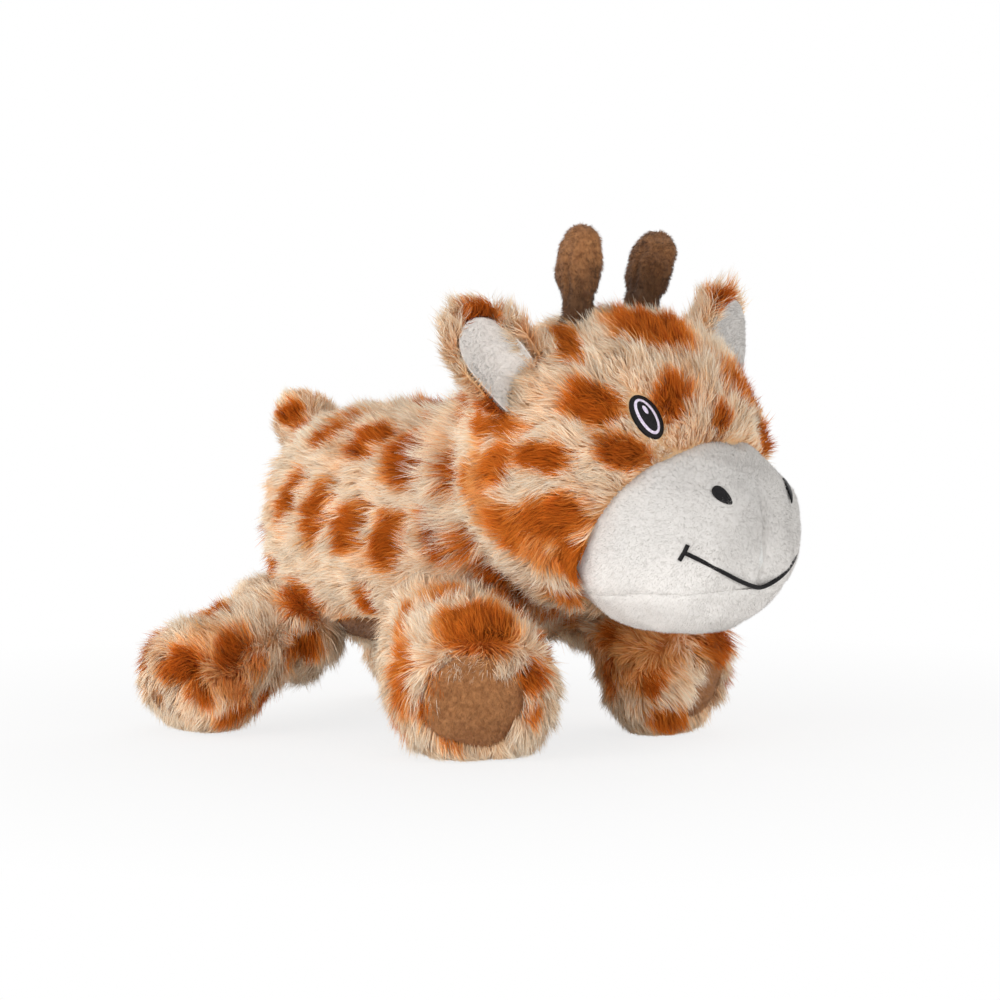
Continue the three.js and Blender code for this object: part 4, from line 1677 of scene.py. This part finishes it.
@dataclass
class Ossicone(Part):
    """A flat stuffed paddle on a stem, with a ridge where its two halves are sewn.

    Attributes:
        name: Which ossicone it is.
        side: 1 on the toy's left and -1 on its right.
        lean: Degrees that it leans to its side.
        lean_over: How far its top bends across, in mm.
        painted_shade: Painted shade: how much darker its cloth and nap are all over, standing in for the
            shade on the far ossicone.
    """

    name: str = ""
    side: int = 1
    lean: float = 0.0
    lean_over: float = 0.0
    painted_shade: float = 0.0

    def build(self) -> None:
        """Builds the paddle and its nap."""
        pivot = top_of(HEAD, 52, self.side * 20)
        along = heading(90, 90 - self.lean, self.side)
        stem = Form(slide(pivot, along, 11), (15, 7.5, 6.5), tuple(along))
        paddle = Form(slide(pivot, along, 28), (17, 11.5, 7), tuple(along))
        root = Form(pivot, (8, 8, 8))
        piece = fused(f"ossicone_{self.name}_cloth", [stem, paddle, root], 0.9, 12)
        points = places(piece.data)
        axes = paddle.axes()
        own = (points - np.array(paddle.at)) @ axes.T
        ridge = 0.9 * np.exp(-((own[:, 2] / 0.9) ** 2)) * np.clip(np.abs(own[:, 1]) / 6 - 0.6, 0, 1)
        off_crease = own[:, 1] - 1.5 * self.side + 0.06 * own[:, 0]
        crease = -0.8 * np.exp(-((off_crease / 1.6) ** 2)) * np.clip(1 - np.abs(own[:, 0] + 6) / 22, 0, 1)
        soft = 0.45 * ripple(points, 14, 91) + 0.2 * ripple(points, 6, 92)
        moved = points + (ridge + crease + soft)[:, None] * out_of(piece.data)
        high = np.clip((own[:, 0] + 28) / 40, 0, 1.2)
        tilted = 0.2 * (self.side < 0) * own[:, 1] * np.clip((own[:, 0] + 12) / 10, 0, 1)
        moved += np.outer(tilted - 0.5 * self.side * high, axes[0])
        moved += np.outer(self.lean_over * (high - 0.4), axes[1])
        move_points(piece, moved)

        def shade(at: Array) -> Array:
            """Painted shade, partly standing for the pile's direction: darker down the stem, and darker all
            over by painted_shade.
            """
            return 0.7 * np.clip((at - np.array(paddle.at)) @ axes[0] / 20, -0.8, 0.2) - self.painted_shade

        # Painted shade: the cloth is marked darker down the stem and on the far ossicone.
        mark_light(piece.data, np.clip(0.5 + shade(moved), 0, 1))
        self.take(piece, Cloth.BROWN, [f"ossicone_{self.name}"], fill=0.6)
        outside = clear_of([(HEAD, -2)])
        nap = Coat(
            f"ossicone_{self.name}_nap", piece, NAP, brushed(-along), outside, (), 93 + self.side,
            shade=shade,
        )
        self.plant(nap, Cloth.BROWN)


# Studio


@dataclass(frozen=True)
class Studio:
    """A pale floor, soft lamps and the camera at the photograph's angle.

    Attributes:
        turn: Degrees that the camera stands forward of the toy's right side.
        rise: Degrees that it looks down.
        distance: From the place that it looks at, in metres.
        look_at: That place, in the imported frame.
        lens: In mm.
    """

    turn: float = 40.0
    rise: float = 5.0
    distance: float = 2.2
    look_at: Point = (-0.00294, -0.0044, 0.104)
    lens: float = 179.8

    def build(self) -> None:
        """Builds all of it."""
        self.build_camera()
        self.build_floor()
        self.build_world()
        self.add_lamp("key", (-0.3, -2.3, 0.35), 1.6, 42)
        self.add_lamp("fill", (2.2, -0.6, 0.2), 1.5, 20)
        self.add_lamp("back", (-0.6, 1.9, 1.0), 1.5, 14)
        bpy.context.scene.view_settings.view_transform = "Standard"

    def build_camera(self) -> None:
        """Places the camera."""
        camera = bpy.data.cameras.new("camera")
        camera.lens = self.lens
        camera.sensor_width = 36
        camera.clip_end = 50
        made = link_new("camera", camera)
        turn, rise = math.radians(self.turn), math.radians(self.rise)
        back = Vector((math.sin(turn) * math.cos(rise), -math.cos(turn) * math.cos(rise), math.sin(rise)))
        made.location = Vector(self.look_at) + back * self.distance
        made.rotation_euler = back.to_track_quat("Z", "Y").to_euler()
        bpy.context.scene.camera = made

    def build_floor(self) -> None:
        """Makes a wide white floor that keeps the toy's shadow."""
        bm = bmesh.new()
        bmesh.ops.create_grid(bm, x_segments=2, y_segments=2, size=12)
        mesh = bpy.data.meshes.new("floor")
        bm.to_mesh(mesh)
        bm.free()
        floor = link_new("floor", mesh)
        floor.location.z = -0.0005
        material = bpy.data.materials.new("floor")
        nodes = Nodes(material)
        surface = nodes.tree.nodes["Principled BSDF"]
        surface.inputs["Base Color"].default_value = (0.9, 0.9, 0.9, 1)
        surface.inputs["Roughness"].default_value = 1.0
        surface.inputs["Specular IOR Level"].default_value = 0.0
        glow = nodes.add("ShaderNodeEmission", {"Color": (1, 1, 1, 1)})
        coords = nodes.add("ShaderNodeTexCoord")
        away = nodes.add("ShaderNodeVectorMath", operation="LENGTH")
        reach = {"From Min": 0.14, "From Max": 0.42, "To Min": 0.8, "To Max": 1.0}
        fade = nodes.add("ShaderNodeMapRange", reach)
        share = nodes.add("ShaderNodeMath", operation="MULTIPLY")
        nodes.join(coords.outputs["Object"], away.inputs[0])
        nodes.join(away.outputs["Value"], fade.inputs["Value"])
        nodes.join(nodes.seen(), share.inputs[0])
        nodes.join(fade.outputs["Result"], share.inputs[1])
        nodes.blend(share.outputs["Value"], surface.outputs["BSDF"], glow.outputs["Emission"])
        mesh.materials.append(material)

    def build_world(self) -> None:
        """Makes an even soft light that the camera sees as white."""
        world = bpy.data.worlds.new("studio")
        bpy.context.scene.world = world
        nodes = Nodes(world)
        soft = nodes.tree.nodes["Background"]
        soft.inputs["Color"].default_value = (1.0, 0.995, 0.985, 1)
        soft.inputs["Strength"].default_value = 0.6
        white = nodes.add("ShaderNodeBackground", {"Color": (1, 1, 1, 1), "Strength": 1.0})
        nodes.blend(nodes.seen(), soft.outputs["Background"], white.outputs["Background"], "World Output")

    def add_lamp(self, name: str, at: Point, size: float, power: float) -> None:
        """Adds a soft square lamp that faces the toy."""
        lamp = bpy.data.lights.new(name, "AREA")
        lamp.size = size
        lamp.energy = power
        made = link_new(name, lamp)
        made.location = at
        made.rotation_euler = (Vector(at) - Vector(self.look_at)).to_track_quat("Z", "Y").to_euler()


def main() -> None:
    """Builds the toy in order, then the studio."""
    logging.basicConfig(level=logging.INFO, format="%(message)s")
    cloths = finishes()
    legs = four_legs(cloths)
    stumps = [(leg.root, -3.0) for leg in legs] + [(leg.stub, -3.0) for leg in legs]
    Torso("torso", cloths).build([*stumps, (NECK, -2.0)])
    Neck("neck", cloths).build([(TORSO, -3.0), (HEAD, -3.0), (MUZZLE, -2.0)])
    Tail("tail", cloths).build()
    for leg in legs:
        leg.build()
    Head("head", cloths).build([(NECK, -3.0), (MUZZLE, 0.3)])
    # Each ear's lining gets its own painted light: the near one is lightened and the far one is shaded, with
    # light 0.3.
    Ear("ear_right", cloths, "right", -1, 95.0, 42.0).build()
    Ear(
        "ear_left", cloths, "left", 1, 88.0, 46.0, outer_bend=10.0, curl=60.0, shift=(-2.0, 0.0, -2.0),
        inset=1.2, sink=(0.0, -1.5, 0.5), rim=0.04, light=0.3,
    ).build()
    Ossicone("ossicone_right", cloths, "right", -1, 2.0, lean_over=2.5).build()
    # The far ossicone gets painted shade.
    Ossicone("ossicone_left", cloths, "left", 1, 20.0, painted_shade=0.2).build()
    for name, node in frame["nodes"].items():
        if name.endswith("_filling"):
            node.data.materials.clear()
            node.data.materials.append(cloths[Cloth.FIBRE])
    Studio().build()
    meshes = [item.data for item in bpy.data.objects if item.type == "MESH"]
    log.info("%d faces in all", sum(len(mesh.polygons) for mesh in meshes))


if __name__ == "__main__":
    main()
